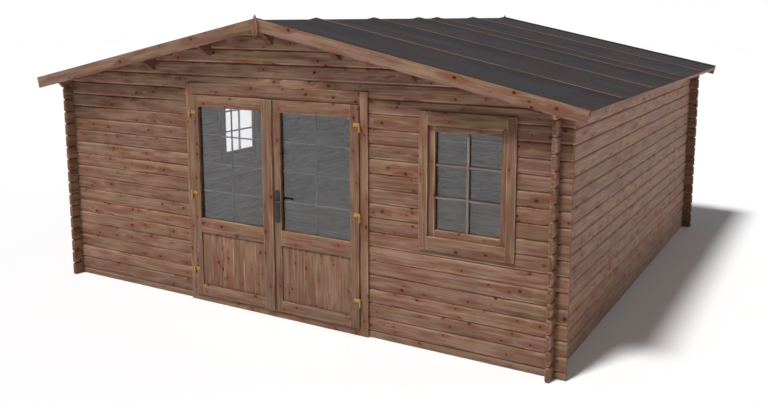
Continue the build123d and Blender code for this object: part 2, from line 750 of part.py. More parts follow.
def window_sash(plane, centre, opening_bottom, opening_top):
    """Stiles, rails and glazing bars of a fixed window sash, ploughed for the glass."""
    half = window_width / 2 - window_jamb - fit_gap
    bottom = opening_bottom - window_bottom_lap + window_board + fit_gap
    top = opening_top + window_top_lap - window_board - fit_gap
    out = (frame_proud - sash_setback - sash_thickness, frame_proud - sash_setback)
    for side in (-1, 1):
        slab(plane, sorted((centre + side * half, centre + side * (half - sash_width))), (bottom, top), out)
    between = (centre - half + sash_width + fit_gap, centre + half - sash_width - fit_gap)
    slab(plane, between, (bottom, bottom + sash_width), out)
    slab(plane, between, (top - sash_width, top), out)
    glass_front = out[1] - sash_glass_setback
    slab(plane, (centre - half + sash_width - glass_bite, centre + half - sash_width + glass_bite),
         (bottom + sash_width - glass_bite, top - sash_width + glass_bite),
         (glass_front - glass_thickness - fit_gap, glass_front + fit_gap), mode=Mode.SUBTRACT)
    glazing_bars(plane, between, (bottom + sash_width + fit_gap, top - sash_width - fit_gap),
                 (glass_front + fit_gap, out[1] - window_bar_setback),
                 window_panes_across, window_panes_up, window_bar_width)


def window_glass(plane, centre, opening_bottom, opening_top):
    """Pane of a window, seated in the groove of its sash."""
    half = window_width / 2 - window_jamb - sash_width + glass_bite - 2 * fit_gap
    bottom = opening_bottom - window_bottom_lap + window_board + sash_width - glass_bite + 2 * fit_gap
    top = opening_top + window_top_lap - window_board - sash_width + glass_bite - 2 * fit_gap
    front = frame_proud - sash_setback - sash_glass_setback
    slab(plane, (centre - half, centre + half), (bottom, top), (front - glass_thickness, front))


# Windows in the front wall and in the left wall
front_opening = [(row + stagger_share) * log_height for row in (window_sill_rows, window_last_row)]
left_opening = [row * log_height for row in (window_sill_rows, window_last_row)]
window_places = {
    "front_window": (front_plane, front_window_centre, *front_opening),
    "left_window": (left_plane, -left_window_centre, *left_opening),
}
for name, place in window_places.items():
    with BuildPart() as frame:
        window_frame(*place)
    save(frame.part, f"{name}_frame")
    with BuildPart() as sash:
        window_sash(*place)
    save(sash.part, f"{name}_sash")
    with BuildPart() as glass:
        window_glass(*place)
    save(glass.part, f"{name}_glass")

# Floor bearers on the ground, set against the back wall, with the floor boards on them
floor_x = half_width - log_thickness - floor_edge_gap
floor_front_y = -half_depth - frame_out[0] + floor_edge_gap
floor_back_y = half_depth - log_thickness - floor_edge_gap
bearer_back_y = half_depth - log_thickness - fit_gap
with BuildPart() as floor_bearers:
    pitch = (2 * floor_x - floor_bearer_width) / (floor_bearers_count - 1)
    with Locations((0, (floor_front_y + bearer_back_y) / 2, floor_bearer_height / 2)):
        with GridLocations(pitch, 0, floor_bearers_count, 1):
            Box(floor_bearer_width, bearer_back_y - floor_front_y, floor_bearer_height)
save(floor_bearers.part, "floor_bearers")

with BuildPart() as floor_boards:
    floor_z = floor_bearer_height + fit_gap
    with Locations((0, (floor_front_y + floor_back_y) / 2, floor_z + floor_board_thickness / 2)):
        Box(2 * floor_x, floor_back_y - floor_front_y, floor_board_thickness)
save(floor_boards.part, "floor_boards")
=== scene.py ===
"""Looks of a square log cabin: stained pine logs, a felt roof, a glazed double door and windows.

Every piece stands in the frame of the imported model, in metres, with its place in its mesh.
"""

import json
import logging
import math
import random
from abc import ABC, abstractmethod
from collections.abc import Iterable, Iterator, Sequence
from dataclasses import dataclass
from enum import Enum
from typing import Any

import bmesh
import bpy
from bmesh.types import BMesh, BMEdge, BMFace, BMLayerItem, BMVert
from mathutils import Matrix, Vector


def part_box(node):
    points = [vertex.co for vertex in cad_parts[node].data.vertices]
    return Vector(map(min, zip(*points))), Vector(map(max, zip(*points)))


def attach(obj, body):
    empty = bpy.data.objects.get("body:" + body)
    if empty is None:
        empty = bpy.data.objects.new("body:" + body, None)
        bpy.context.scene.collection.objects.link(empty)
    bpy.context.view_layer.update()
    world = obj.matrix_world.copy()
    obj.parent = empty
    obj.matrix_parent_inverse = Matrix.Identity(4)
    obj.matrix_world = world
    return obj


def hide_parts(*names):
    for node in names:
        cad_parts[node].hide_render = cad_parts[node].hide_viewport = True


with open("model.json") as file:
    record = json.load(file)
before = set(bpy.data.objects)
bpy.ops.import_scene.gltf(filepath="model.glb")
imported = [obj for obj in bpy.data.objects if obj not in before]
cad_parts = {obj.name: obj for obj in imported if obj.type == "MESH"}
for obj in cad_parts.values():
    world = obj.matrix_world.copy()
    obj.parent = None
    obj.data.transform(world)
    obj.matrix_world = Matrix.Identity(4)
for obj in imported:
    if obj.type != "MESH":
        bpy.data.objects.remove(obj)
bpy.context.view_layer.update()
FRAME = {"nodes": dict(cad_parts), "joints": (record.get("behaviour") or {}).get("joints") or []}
LOG = logging.getLogger("cabin")

# A span holds the lowest and highest input of a soft step, and what it gives at each
Span = tuple[float, float, float, float]
Triple = tuple[float, float, float]
Colour = tuple[float, float, float, float]
Corners = tuple[Vector, Vector]
Socket = bpy.types.NodeSocket

X_AXIS = Vector((1.0, 0.0, 0.0))
Y_AXIS = Vector((0.0, 1.0, 0.0))
Z_AXIS = Vector((0.0, 0.0, 1.0))
RIGHT_ANGLE = math.radians(90.0)
FLAT_ANGLE = math.radians(1.0)
SHARP_ANGLE = math.radians(20.0)
SMOOTH_ANGLE = math.radians(35.0)
ROUNDING_COS = math.cos(math.radians(3.0))
DEPTH_COS = 0.9
MERGE_GAP = 0.00001

# Boards: what counts as a groove, a slim board, a log's end, a glazing bar and end grain
GROOVE_DEPTH = 0.012
SLIM_SHARE = 0.2
END_SLACK = 0.001
BAR_LIMIT = 0.03
END_COS = 0.75
# Unit of a face's wear in the board layer, which also carries painted light and painted shade
WEAR_AND_LIGHT = Vector((0.0, 0.0, 1.0))

# Ranges of the random place of a board in its tree, along the trunk, aside and from the heart
GRAIN_RUN = 60.0
GRAIN_SIDE = 0.06
HEART_DEPTHS = (0.015, 0.06)

# Settings of the bevel tool, and the digits by which it tells flat sides apart
ROUND_PROFILE = 0.5
KEEP_MATERIAL = -1
NORMAL_DIGITS = 3

# Screw heads, in shares of their radius
SCREW_RISE = 0.45
SCREW_CROWN = 0.7
SOCKET_RIM = 0.35
SOCKET_DEPTH = 0.3
SCREW_SIDES = 16

WHITE: Colour = (1.0, 1.0, 1.0, 1.0)
NOISE_MEAN = 0.5
BYTE_TOP = 255.0
SRGB_TOE = 0.04045
SRGB_TOE_SLOPE = 12.92
SRGB_OFFSET = 0.055
SRGB_POWER = 2.4


def srgb(red: int, green: int, blue: int) -> Colour:
    """Turn a colour as it shows on a screen into the linear values that a shader takes.

    Args:
        red: Red from 0 to 255.
        green: Green from 0 to 255.
        blue: Blue from 0 to 255.

    Returns:
        Linear red, green and blue from 0 to 1, with an opaque alpha.
    """
    linear = []
    for part in (red, green, blue):
        share = part / BYTE_TOP
        curve = ((share + SRGB_OFFSET) / (1.0 + SRGB_OFFSET)) ** SRGB_POWER
        linear.append(share / SRGB_TOE_SLOPE if share <= SRGB_TOE else curve)
    return (linear[0], linear[1], linear[2], 1.0)


class Slot(Enum):
    """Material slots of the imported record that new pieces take."""

    LOGS = "log_timber"
    BEAMS = "roof_timber"
    ROOF_BOARDS = "roof_boards"
    FELT = "roof_felt"
    VERGES = "verge_timber"
    JOINERY = "joinery_timber"
    HINGES = "hinge_brass"
    HANDLE = "handle_metal"
    FLOOR = "floor_timber"


class Body(Enum):
    """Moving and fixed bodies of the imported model."""

    CABIN = "cabin"
    LEFT_DOOR = "left_door"
    RIGHT_DOOR = "right_door"
    HANDLE = "handle"


# Node graphs


class Graph:
    """Node tree that is being filled, where an input takes a plain value or another node's output."""

    def __init__(self, tree: bpy.types.NodeTree) -> None:
        """Keep the tree and empty it."""
        self.tree = tree
        tree.nodes.clear()

    def feed(self, socket: Socket, value: Any) -> None:
        """Link a value that is an output, or set it as the input's own value.

        Args:
            socket: Input to feed.
            value: Output of another node, or a plain value.
        """
        if isinstance(value, bpy.types.NodeSocket):
            self.tree.links.new(value, socket)
        else:
            socket.default_value = value

    def add(self, kind: str, inputs: dict[str | int, Any] | None = None, **settings: Any) -> bpy.types.Node:
        """Add one node with its settings and inputs.

        Args:
            kind: Node type without its ShaderNode prefix.
            inputs: Values or outputs by input name or number.
            settings: Properties of the node itself.

        Returns:
            The new node.
        """
        node = self.tree.nodes.new(f"ShaderNode{kind}")
        for name, value in settings.items():
            setattr(node, name, value)
        for key, value in (inputs or {}).items():
            self.feed(node.inputs[key], value)
        return node

    def math(self, operation: str, first: Any, second: Any = 0.0) -> Socket:
        """Return the result of one arithmetic step on two values."""
        return self.add("Math", {0: first, 1: second}, operation=operation).outputs[0]

    def plus(self, first: Any, second: Any) -> Socket:
        """Return the sum of two values."""
        return self.math("ADD", first, second)

    def minus(self, first: Any, second: Any) -> Socket:
        """Return the difference of two values."""
        return self.math("SUBTRACT", first, second)

    def times(self, first: Any, second: Any) -> Socket:
        """Return the product of two values."""
        return self.math("MULTIPLY", first, second)

    def vector(self, operation: str, first: Any, second: Any = (0.0, 0.0, 0.0)) -> bpy.types.Node:
        """Return a vector arithmetic node on two vectors."""
        return self.add("VectorMath", {0: first, 1: second}, operation=operation)

    def scaled(self, vector: Any, scale: Triple) -> Socket:
        """Return a vector stretched by its own scale on each axis."""
        return self.vector("MULTIPLY", vector, scale).outputs[0]

    def blend(self, factor: Any, first: Any, second: Any, mode: str = "MIX") -> Socket:
        """Return a colour blended from two colours."""
        node = self.add("Mix", {0: factor, 6: first, 7: second}, data_type="RGBA", blend_type=mode)
        return node.outputs[2]

    def tinted(self, colour: Any, tint: Any) -> Socket:
        """Return a colour multiplied by another."""
        return self.blend(1.0, colour, tint, "MULTIPLY")

    def span(self, value: Any, low: float, high: float, start: float, end: float) -> Socket:
        """Return a value eased from start to end as the input goes from low to high."""
        inputs = {"Value": value, 1: low, 2: high, 3: start, 4: end}
        return self.add("MapRange", inputs, interpolation_type="SMOOTHSTEP", clamp=True).outputs[0]

    def noise(self, vector: Any, scale: Any = 1.0, detail: float = 2.0, roughness: float = 0.5) -> Socket:
        """Return soft random values at places in space."""
        inputs = {"Vector": vector, "Scale": scale, "Detail": detail, "Roughness": roughness}
        return self.add("TexNoise", inputs).outputs[0]

    def cells(self, vector: Any, scale: Any = 1.0, feature: str = "F1") -> bpy.types.bpy_prop_collection:
        """Return the outputs of a pattern of random cells."""
        return self.add("TexVoronoi", {"Vector": vector, "Scale": scale}, feature=feature).outputs

    def split(self, vector: Any) -> tuple[Socket, Socket, Socket]:
        """Return the three parts of a vector."""
        outputs = self.add("SeparateXYZ", {0: vector}).outputs
        return outputs[0], outputs[1], outputs[2]


class GroupKind(Enum):
    """Socket types of a node group."""

    VALUE = "NodeSocketFloat"
    COLOUR = "NodeSocketColor"
    VECTOR = "NodeSocketVector"


def new_group(name: str, inputs: dict[str, GroupKind],
              outputs: dict[str, GroupKind]) -> tuple[Graph, dict[str, Socket]]:
    """Start a shader node group with named sockets.

    Args:
        name: Name of the group.
        inputs: Sockets that feed the group.
        outputs: Sockets that it puts out.

    Returns:
        The graph inside the group, and the outputs of its input node by name.
    """
    tree = bpy.data.node_groups.new(name, "ShaderNodeTree")
    for way, sockets in (("INPUT", inputs), ("OUTPUT", outputs)):
        for title, kind in sockets.items():
            tree.interface.new_socket(name=title, in_out=way, socket_type=kind.value)
    graph = Graph(tree)
    entry = tree.nodes.new("NodeGroupInput")
    return graph, {title: entry.outputs[title] for title in inputs}


def close_group(graph: Graph, results: dict[str, Socket]) -> bpy.types.NodeTree:
    """Link a group's results to its outputs.

    Args:
        graph: Graph inside the group.
        results: Outputs of inner nodes by the group's output names.

    Returns:
        The finished group.
    """
    way_out = graph.tree.nodes.new("NodeGroupOutput")
    for name, value in results.items():
        graph.feed(way_out.inputs[name], value)
    return graph.tree


@dataclass(frozen=True)
class PineFigure:
    """Figure of sawn pine through a solid board: knots, growth rings, streaks, patches and fibres.

    Lengths are in metres, and a scale is the number of repeats in a metre along, across and into the board.
    """

    knot_spacing: Triple = (0.25, 0.075, 0.6)
    knot_share: float = 0.6
    knot_shades: Span = (0.0, 0.7, 0.6, 1.0)
    knot_sizes: Span = (0.0, 1.0, 0.5, 1.0)
    knot_stretch: float = 0.75
    knot_grit: float = 120.0
    knot_ragged: Span = (0.25, 0.75, 0.75, 1.3)
    knot_edge: Span = (0.35, 1.25, 1.0, 0.0)
    knot_sink: float = 0.5
    halo_stretch: float = 0.22
    halo_fade: Span = (0.8, 3.6, 1.0, 0.0)
    halo_border: Span = (0.0, 0.12, 0.0, 1.0)
    halo_redness: float = 0.8
    ring_width: float = 0.0065
    ring_wander: float = 0.02
    ring_steepness: float = 2.5
    ring_weight: float = 0.18
    ring_groove: float = 0.6
    wander_scale: Triple = (0.9, 7.0, 7.0)
    streak_scale: Triple = (2.0, 58.0, 58.0)
    streak_detail: float = 4.0
    streak_roughness: float = 0.62
    streak_weight: Span = (0.36, 0.66, 0.0, 0.6)
    streak_redness: Span = (0.3, 0.6, 0.4, 1.0)
    patch_scale: Triple = (3.0, 17.0, 17.0)
    patch_weight: Span = (0.36, 0.66, 0.0, 0.24)
    patch_redness: Span = (0.5, 0.7, 0.0, 0.75)
    hue_scale: Triple = (2.2, 11.0, 11.0)
    hue_span: Span = (0.36, 0.64, 0.0, 1.0)
    olive: Colour = (1.0, 1.02, 0.93, 1.0)
    rosy: Colour = (1.02, 0.985, 1.05, 1.0)
    fibre_scale: Triple = (16.0, 900.0, 900.0)
    fibre_light: Span = (0.2, 0.8, -0.05, 0.05)
    fibre_groove: float = 0.5
    plain_detail: float = 1.0
    tone_light: Span = (0.0, 1.0, 0.91, 1.08)
    rub_scale: Triple = (3.5, 12.0, 12.0)
    rub_span: Span = (0.3, 0.7, 0.2, 1.5)
    arris_lift: float = 0.4
    shade_floor: float = 0.35
    end_knot_share: float = 0.4
    end_weight: float = 0.45

    def build(self) -> bpy.types.NodeTree:
        """Build the node group.

        Returns:
            A group that reads grain coordinates in metres, along the board first.
        """
        values = dict.fromkeys(("Tone", "End", "Arris", "Knot Size"), GroupKind.VALUE)
        colours = dict.fromkeys(("Pale", "Brown", "Red", "Knot"), GroupKind.COLOUR)
        graph, port = new_group(
            "pine_figure", {"Grain": GroupKind.VECTOR, **values, **colours},
            {"Color": GroupKind.COLOUR, "Figure": GroupKind.VALUE, "Height": GroupKind.VALUE})
        grain = port["Grain"]
        knot, halo, aside = self.knots(graph, grain, port["Knot Size"])
        along, across, depth = graph.split(grain)
        bent_across = graph.minus(across, graph.times(aside, halo))
        bent = graph.add("CombineXYZ", {0: along, 1: bent_across, 2: depth}).outputs[0]
        late_wood = self.rings(graph, bent)
        streak = graph.noise(graph.scaled(bent, self.streak_scale), detail=self.streak_detail,
                             roughness=self.streak_roughness)
        patch = graph.noise(graph.scaled(bent, self.patch_scale))
        hue = graph.noise(graph.scaled(bent, self.hue_scale), detail=self.plain_detail)
        fibre = graph.noise(graph.scaled(bent, self.fibre_scale), detail=self.plain_detail)
        figure = graph.plus(graph.span(streak, *self.streak_weight), graph.span(patch, *self.patch_weight))
        figure = graph.plus(figure, graph.times(late_wood, self.ring_weight))
        wood = graph.blend(figure, port["Pale"], port["Brown"])
        redness = graph.times(graph.span(patch, *self.patch_redness),
                              graph.span(streak, *self.streak_redness))
        redness = graph.math("MAXIMUM", redness, graph.times(halo, self.halo_redness))
        wood = graph.blend(redness, wood, port["Red"])
        wood = graph.tinted(wood, graph.blend(graph.span(hue, *self.hue_span), self.olive, self.rosy))
        light = graph.plus(graph.span(port["Tone"], *self.tone_light), graph.span(fibre, *self.fibre_light))
        rubbed = graph.span(graph.noise(graph.scaled(grain, self.rub_scale)), *self.rub_span)
        # The Arris value lifts worn edges and painted light, and lowers the colour where painted shade is
        # marked, down to the shade floor
        worn = graph.times(graph.times(port["Arris"], rubbed), self.arris_lift)
        light = graph.math("MAXIMUM", graph.plus(light, worn), self.shade_floor)
        lit = graph.vector("SCALE", wood)
        graph.feed(lit.inputs["Scale"], light)
        shade = graph.blend(knot, lit.outputs[0], port["Knot"])
        end_tint = graph.blend(self.end_knot_share, port["Brown"], port["Knot"])
        result = graph.blend(graph.times(port["End"], self.end_weight), shade, end_tint)
        grooves = graph.plus(graph.times(late_wood, self.ring_groove), graph.times(fibre, self.fibre_groove))
        height = graph.minus(grooves, graph.times(knot, self.knot_sink))
        return close_group(graph, {"Color": result, "Figure": figure, "Height": height})

    def knots(self, graph: Graph, grain: Socket, knot_size: Socket) -> tuple[Socket, Socket, Socket]:
        """Scatter knots, each with its own size and darkness and a stained trail along the grain.

        Args:
            graph: Graph inside the group.
            grain: Grain coordinates.
            knot_size: Radius of the largest knot.

        Returns:
            The mask of the knots, the mask of their trails and how far a point lies to a knot's side.
        """
        cell = graph.scaled(grain, tuple(1.0 / size for size in self.knot_spacing))
        cells = graph.cells(cell)
        border = graph.cells(cell, feature="DISTANCE_TO_EDGE")[0]
        offset = graph.vector("SUBTRACT", cell, cells["Position"]).outputs[0]
        chance, shade, size = graph.add("SeparateColor", {0: cells["Color"]}).outputs[:3]
        present = graph.math("GREATER_THAN", chance, 1.0 - self.knot_share)
        dark = graph.times(present, graph.span(shade, *self.knot_shades))
        radius = graph.times(graph.span(size, *self.knot_sizes), knot_size)
        ragged = graph.span(graph.noise(grain, self.knot_grit), *self.knot_ragged)
        near = graph.times(self.distance(graph, offset, self.knot_stretch), ragged)
        knot = graph.span(graph.math("DIVIDE", near, radius), *self.knot_edge)
        far = graph.math("DIVIDE", self.distance(graph, offset, self.halo_stretch), radius)
        halo = graph.times(graph.span(far, *self.halo_fade), graph.span(border, *self.halo_border))
        aside = graph.times(graph.split(offset)[1], self.knot_spacing[1])
        return graph.times(knot, dark), graph.times(halo, dark), aside

    def distance(self, graph: Graph, offset: Socket, stretch: float) -> Socket:
        """Return the distance from a knot's heart, of which the part along the board counts less."""
        run, wide, _ = self.knot_spacing
        return graph.vector("LENGTH", graph.scaled(offset, (stretch * run, wide, 0.0))).outputs["Value"]

    def rings(self, graph: Graph, place: Socket) -> Socket:
        """Lay growth rings round a heart that wanders along the board.

        Args:
            graph: Graph inside the group.
            place: Grain coordinates, bent round the knots.

        Returns:
            The darkness of the late wood.
        """
        _, across, depth = graph.split(place)
        wander = graph.minus(graph.noise(graph.scaled(place, self.wander_scale)), NOISE_MEAN)
        squares = graph.plus(graph.math("POWER", across, 2.0), graph.math("POWER", depth, 2.0))
        radius = graph.plus(graph.math("SQRT", squares), graph.times(wander, self.ring_wander))
        ring = graph.math("FRACT", graph.math("DIVIDE", radius, self.ring_width))
        return graph.math("POWER", ring, self.ring_steepness)


@dataclass(frozen=True)
class WeatherMarks:
    """Marks that weather leaves on outside timber: splash near the ground and rain streaks."""

    splash_colour: Colour = srgb(92, 76, 66)
    splash_fade: Span = (0.02, 0.3, 0.5, 0.0)
    splash_scale: float = 5.0
    splash_wander: Span = (0.2, 0.8, -0.1, 0.1)
    rain_colour: Colour = srgb(84, 62, 52)
    rain_scale: Triple = (9.0, 9.0, 0.5)
    rain_span: Span = (0.5, 0.8, 0.0, 0.35)
    detail: float = 3.0

    def build(self) -> bpy.types.NodeTree:
        """Build the node group.

        Returns:
            A group that tints a colour by its place in space.
        """
        inputs = {"Color": GroupKind.COLOUR, "Place": GroupKind.VECTOR, "Amount": GroupKind.VALUE}
        graph, port = new_group("weather_marks", inputs, {"Color": GroupKind.COLOUR})
        height = graph.split(port["Place"])[2]
        patch = graph.noise(port["Place"], self.splash_scale, self.detail)
        level = graph.plus(height, graph.span(patch, *self.splash_wander))
        splash = graph.times(graph.span(level, *self.splash_fade), port["Amount"])
        tinted = graph.blend(splash, port["Color"], self.splash_colour)
        rain = graph.noise(graph.scaled(port["Place"], self.rain_scale), detail=self.detail)
        run = graph.times(graph.span(rain, *self.rain_span), port["Amount"])
        return close_group(graph, {"Color": graph.blend(run, tinted, self.rain_colour)})


@dataclass(frozen=True)
class FineWear:
    """Fine speckle, smudges and a rough skin for metal, paint, glass and felt."""

    smudge_detail: float = 4.0
    smudge_span: Span = (0.35, 0.7, 0.0, 1.0)

    def build(self) -> bpy.types.NodeTree:
        """Build the node group.

        Returns:
            A group with its masks from 0 to 1.
        """
        scales = dict.fromkeys(("Speckle Scale", "Smudge Scale"), GroupKind.VALUE)
        outputs = dict.fromkeys(("Speckle", "Smudge", "Height"), GroupKind.VALUE)
        graph, port = new_group("fine_wear", {"Place": GroupKind.VECTOR, **scales}, outputs)
        grain = graph.cells(port["Place"], port["Speckle Scale"])
        smudge = graph.noise(port["Place"], port["Smudge Scale"], self.smudge_detail)
        return close_group(graph, {
            "Speckle": graph.add("SeparateColor", {0: grain["Color"]}).outputs[0],
            "Smudge": graph.span(smudge, *self.smudge_span),
            "Height": graph.minus(1.0, grain["Distance"]),
        })


class Effects:
    """Node groups that several finishes share, each built once."""

    def __init__(self) -> None:
        """Build every group."""
        self.figure = PineFigure().build()
        self.weather = WeatherMarks().build()
        self.wear = FineWear().build()


class Surface:
    """Material that is being made, with its principled shader."""

    def __init__(self, name: str) -> None:
        """Start a material with a principled shader and object coordinates.

        Args:
            name: Name of the material.
        """
        self.material = bpy.data.materials.new(name)
        self.material.use_nodes = True
        self.graph = Graph(self.material.node_tree)
        self.shader = self.graph.add("BsdfPrincipled")
        self.graph.add("OutputMaterial", {"Surface": self.shader.outputs[0]})
        self.place = self.graph.add("TexCoord").outputs["Object"]

    def set(self, **inputs: Any) -> None:
        """Set or link inputs of the shader, named with underscores for spaces."""
        for name, value in inputs.items():
            self.graph.feed(self.shader.inputs[name.replace("_", " ")], value)

    def group(self, tree: bpy.types.NodeTree, **inputs: Any) -> bpy.types.bpy_prop_collection:
        """Place a shared node group and return its outputs."""
        titled = {name.replace("_", " "): value for name, value in inputs.items()}
        return self.graph.add("Group", titled, node_tree=tree).outputs

    def wear(self, effects: Effects, speckle: float, smudge: float) -> bpy.types.bpy_prop_collection:
        """Place the fine wear with its own scales and return its outputs."""
        return self.group(effects.wear, Place=self.place, Speckle_Scale=speckle, Smudge_Scale=smudge)

    def attribute(self, name: str) -> Socket:
        """Return a vector that the mesh carries."""
        return self.graph.add("Attribute", attribute_name=name, attribute_type="GEOMETRY").outputs["Vector"]

    def bump(self, height: Socket, strength: float, depth: float) -> None:
        """Roughen the surface by a height."""
        inputs = {"Height": height, "Strength": strength, "Distance": depth}
        self.set(Normal=self.graph.add("Bump", inputs).outputs[0])


@dataclass(frozen=True)
class Finish(ABC):
    """One finish, whose material has its name."""

    name: str

    def material(self, effects: Effects) -> bpy.types.Material:
        """Make the material.

        Args:
            effects: Shared node groups.

        Returns:
            A material with this finish.
        """
        surface = Surface(self.name)
        self.dress(surface, effects)
        return surface.material

    @abstractmethod
    def dress(self, surface: Surface, effects: Effects) -> None:
        """Feed the shader of a new surface."""


@dataclass(frozen=True)
class Timber(Finish):
    """Stained or bare sawn pine."""

    pale: Colour
    brown: Colour
    red: Colour
    knot: Colour
    knot_size: float = 0.0155
    weather: float = 0.6
    edge_wear: float = 1.0
    sheen: float = 0.15
    polish: Span = (0.1, 0.9, 0.72, 0.52)
    grain_bump: float = 0.35
    grain_depth: float = 0.0006

    def dress(self, surface: Surface, effects: Effects) -> None:
        """Feed the shader from the grain and board values of the mesh.

        Args:
            surface: Surface to dress.
            effects: Shared node groups.
        """
        graph = surface.graph
        tone, end, arris = graph.split(surface.attribute("board"))
        pine = surface.group(
            effects.figure, Grain=surface.attribute("grain"), Tone=tone, End=end,
            Arris=graph.times(arris, self.edge_wear), Pale=self.pale, Brown=self.brown, Red=self.red,
            Knot=self.knot, Knot_Size=self.knot_size)
        colour = surface.group(effects.weather, Color=pine["Color"], Place=surface.place, Amount=self.weather)
        surface.set(Base_Color=colour["Color"], Specular_IOR_Level=self.sheen)
        surface.set(Roughness=graph.span(pine["Figure"], *self.polish))
        surface.bump(pine["Height"], self.grain_bump, self.grain_depth)


@dataclass(frozen=True)
class Felt(Finish):
    """Mineral roofing felt with worn welts."""

    dark: Colour
    pale: Colour
    worn: Colour
    cool: Colour = (0.9, 0.99, 1.12, 1.0)
    warm: Colour = (1.1, 0.98, 0.92, 1.0)
    speckle_scale: float = 420.0
    speckle_weight: float = 0.5
    smudge_scale: float = 2.2
    smudge_weight: float = 0.2
    roll_scale: Triple = (0.5, 9.0, 0.5)
    roll_detail: float = 3.0
    roll_weight: Span = (0.3, 0.7, 0.0, 0.3)
    mottle_scale: float = 3.5
    mottle_span: Span = (0.35, 0.65, 0.0, 1.0)
    crest_scale: float = 3.0
    crest_span: Span = (0.3, 0.6, 0.55, 1.0)
    sheen: float = 0.05
    polish: Span = (0.0, 1.0, 0.8, 0.95)
    grit_bump: float = 0.5
    grit_depth: float = 0.001

    def dress(self, surface: Surface, effects: Effects) -> None:
        """Feed the shader with granules, which are paler where the mesh says that the felt is worn.

        Args:
            surface: Surface to dress.
            effects: Shared node groups.
        """
        graph = surface.graph
        grit = surface.wear(effects, self.speckle_scale, self.smudge_scale)
        rolled = graph.noise(graph.scaled(surface.place, self.roll_scale), detail=self.roll_detail)
        shade = graph.plus(graph.times(grit["Speckle"], self.speckle_weight),
                           graph.span(rolled, *self.roll_weight))
        shade = graph.plus(shade, graph.times(grit["Smudge"], self.smudge_weight))
        mottle = graph.span(graph.noise(surface.place, self.mottle_scale), *self.mottle_span)
        colour = graph.tinted(graph.blend(shade, self.dark, self.pale),
                              graph.blend(mottle, self.cool, self.warm))
        crest = graph.split(surface.attribute("board"))[2]
        rubbed = graph.span(graph.noise(surface.place, self.crest_scale), *self.crest_span)
        colour = graph.blend(graph.times(crest, rubbed), colour, self.worn)
        surface.set(Base_Color=colour, Specular_IOR_Level=self.sheen)
        surface.set(Roughness=graph.span(grit["Speckle"], *self.polish))
        surface.bump(grit["Height"], self.grit_bump, self.grit_depth)


@dataclass(frozen=True)
class Metal(Finish):
    """Plated or painted metal with handling marks."""

    colour: Colour
    marked: Colour
    metallic: float
    polish: Span
    speckle_scale: float = 900.0
    smudge_scale: float = 60.0
    skin_bump: float = 0.08
    skin_depth: float = 0.0002

    def dress(self, surface: Surface, effects: Effects) -> None:
        """Feed the shader with a colour and polish that change with the smudges.

        Args:
            surface: Surface to dress.
            effects: Shared node groups.
        """
        graph = surface.graph
        wear = surface.wear(effects, self.speckle_scale, self.smudge_scale)
        surface.set(Base_Color=graph.blend(wear["Smudge"], self.colour, self.marked), Metallic=self.metallic)
        surface.set(Roughness=graph.span(wear["Smudge"], *self.polish))
        surface.bump(wear["Height"], self.skin_bump, self.skin_depth)


@dataclass(frozen=True)
class Paint(Finish):
    """Matt paint that is paler where the mesh marks painted light, broken up by smudges."""

    colour: Colour
    lit_top: Colour
    roughness: float
    speckle_scale: float = 700.0
    smudge_scale: float = 20.0
    light_smudging: Span = (0.0, 1.0, 0.8, 1.0)
    skin_bump: float = 0.1
    skin_depth: float = 0.0002

    def dress(self, surface: Surface, effects: Effects) -> None:
        """Feed the shader with a paint that has faint smudges.

        Args:
            surface: Surface to dress.
            effects: Shared node groups.
        """
        graph = surface.graph
        wear = surface.wear(effects, self.speckle_scale, self.smudge_scale)
        top_light = graph.split(surface.attribute("board"))[2]
        top_light = graph.times(top_light, graph.span(wear["Smudge"], *self.light_smudging))
        surface.set(Base_Color=graph.blend(top_light, self.colour, self.lit_top), Roughness=self.roughness)
        surface.bump(wear["Height"], self.skin_bump, self.skin_depth)


@dataclass(frozen=True)
class Glass(Finish):
    """Clear window glass with faint smears."""

    tint: Colour
    refraction: float
    smear: float
    speckle_scale: float = 300.0
    smudge_scale: float = 5.0

    def dress(self, surface: Surface, effects: Effects) -> None:
        """Feed the shader with a clear glass whose polish changes a little over the pane.

        Args:
            surface: Surface to dress.
            effects: Shared node groups.
        """
        wear = surface.wear(effects, self.speckle_scale, self.smudge_scale)
        surface.set(Base_Color=self.tint, Metallic=0.0, Transmission_Weight=1.0, IOR=self.refraction)
        surface.set(Roughness=surface.graph.times(wear["Smudge"], self.smear))


STAIN = {"red": srgb(118, 73, 55), "knot": srgb(64, 21, 4)}
BAR_STAIN = {"red": srgb(118, 98, 88), "knot": srgb(92, 72, 62)}


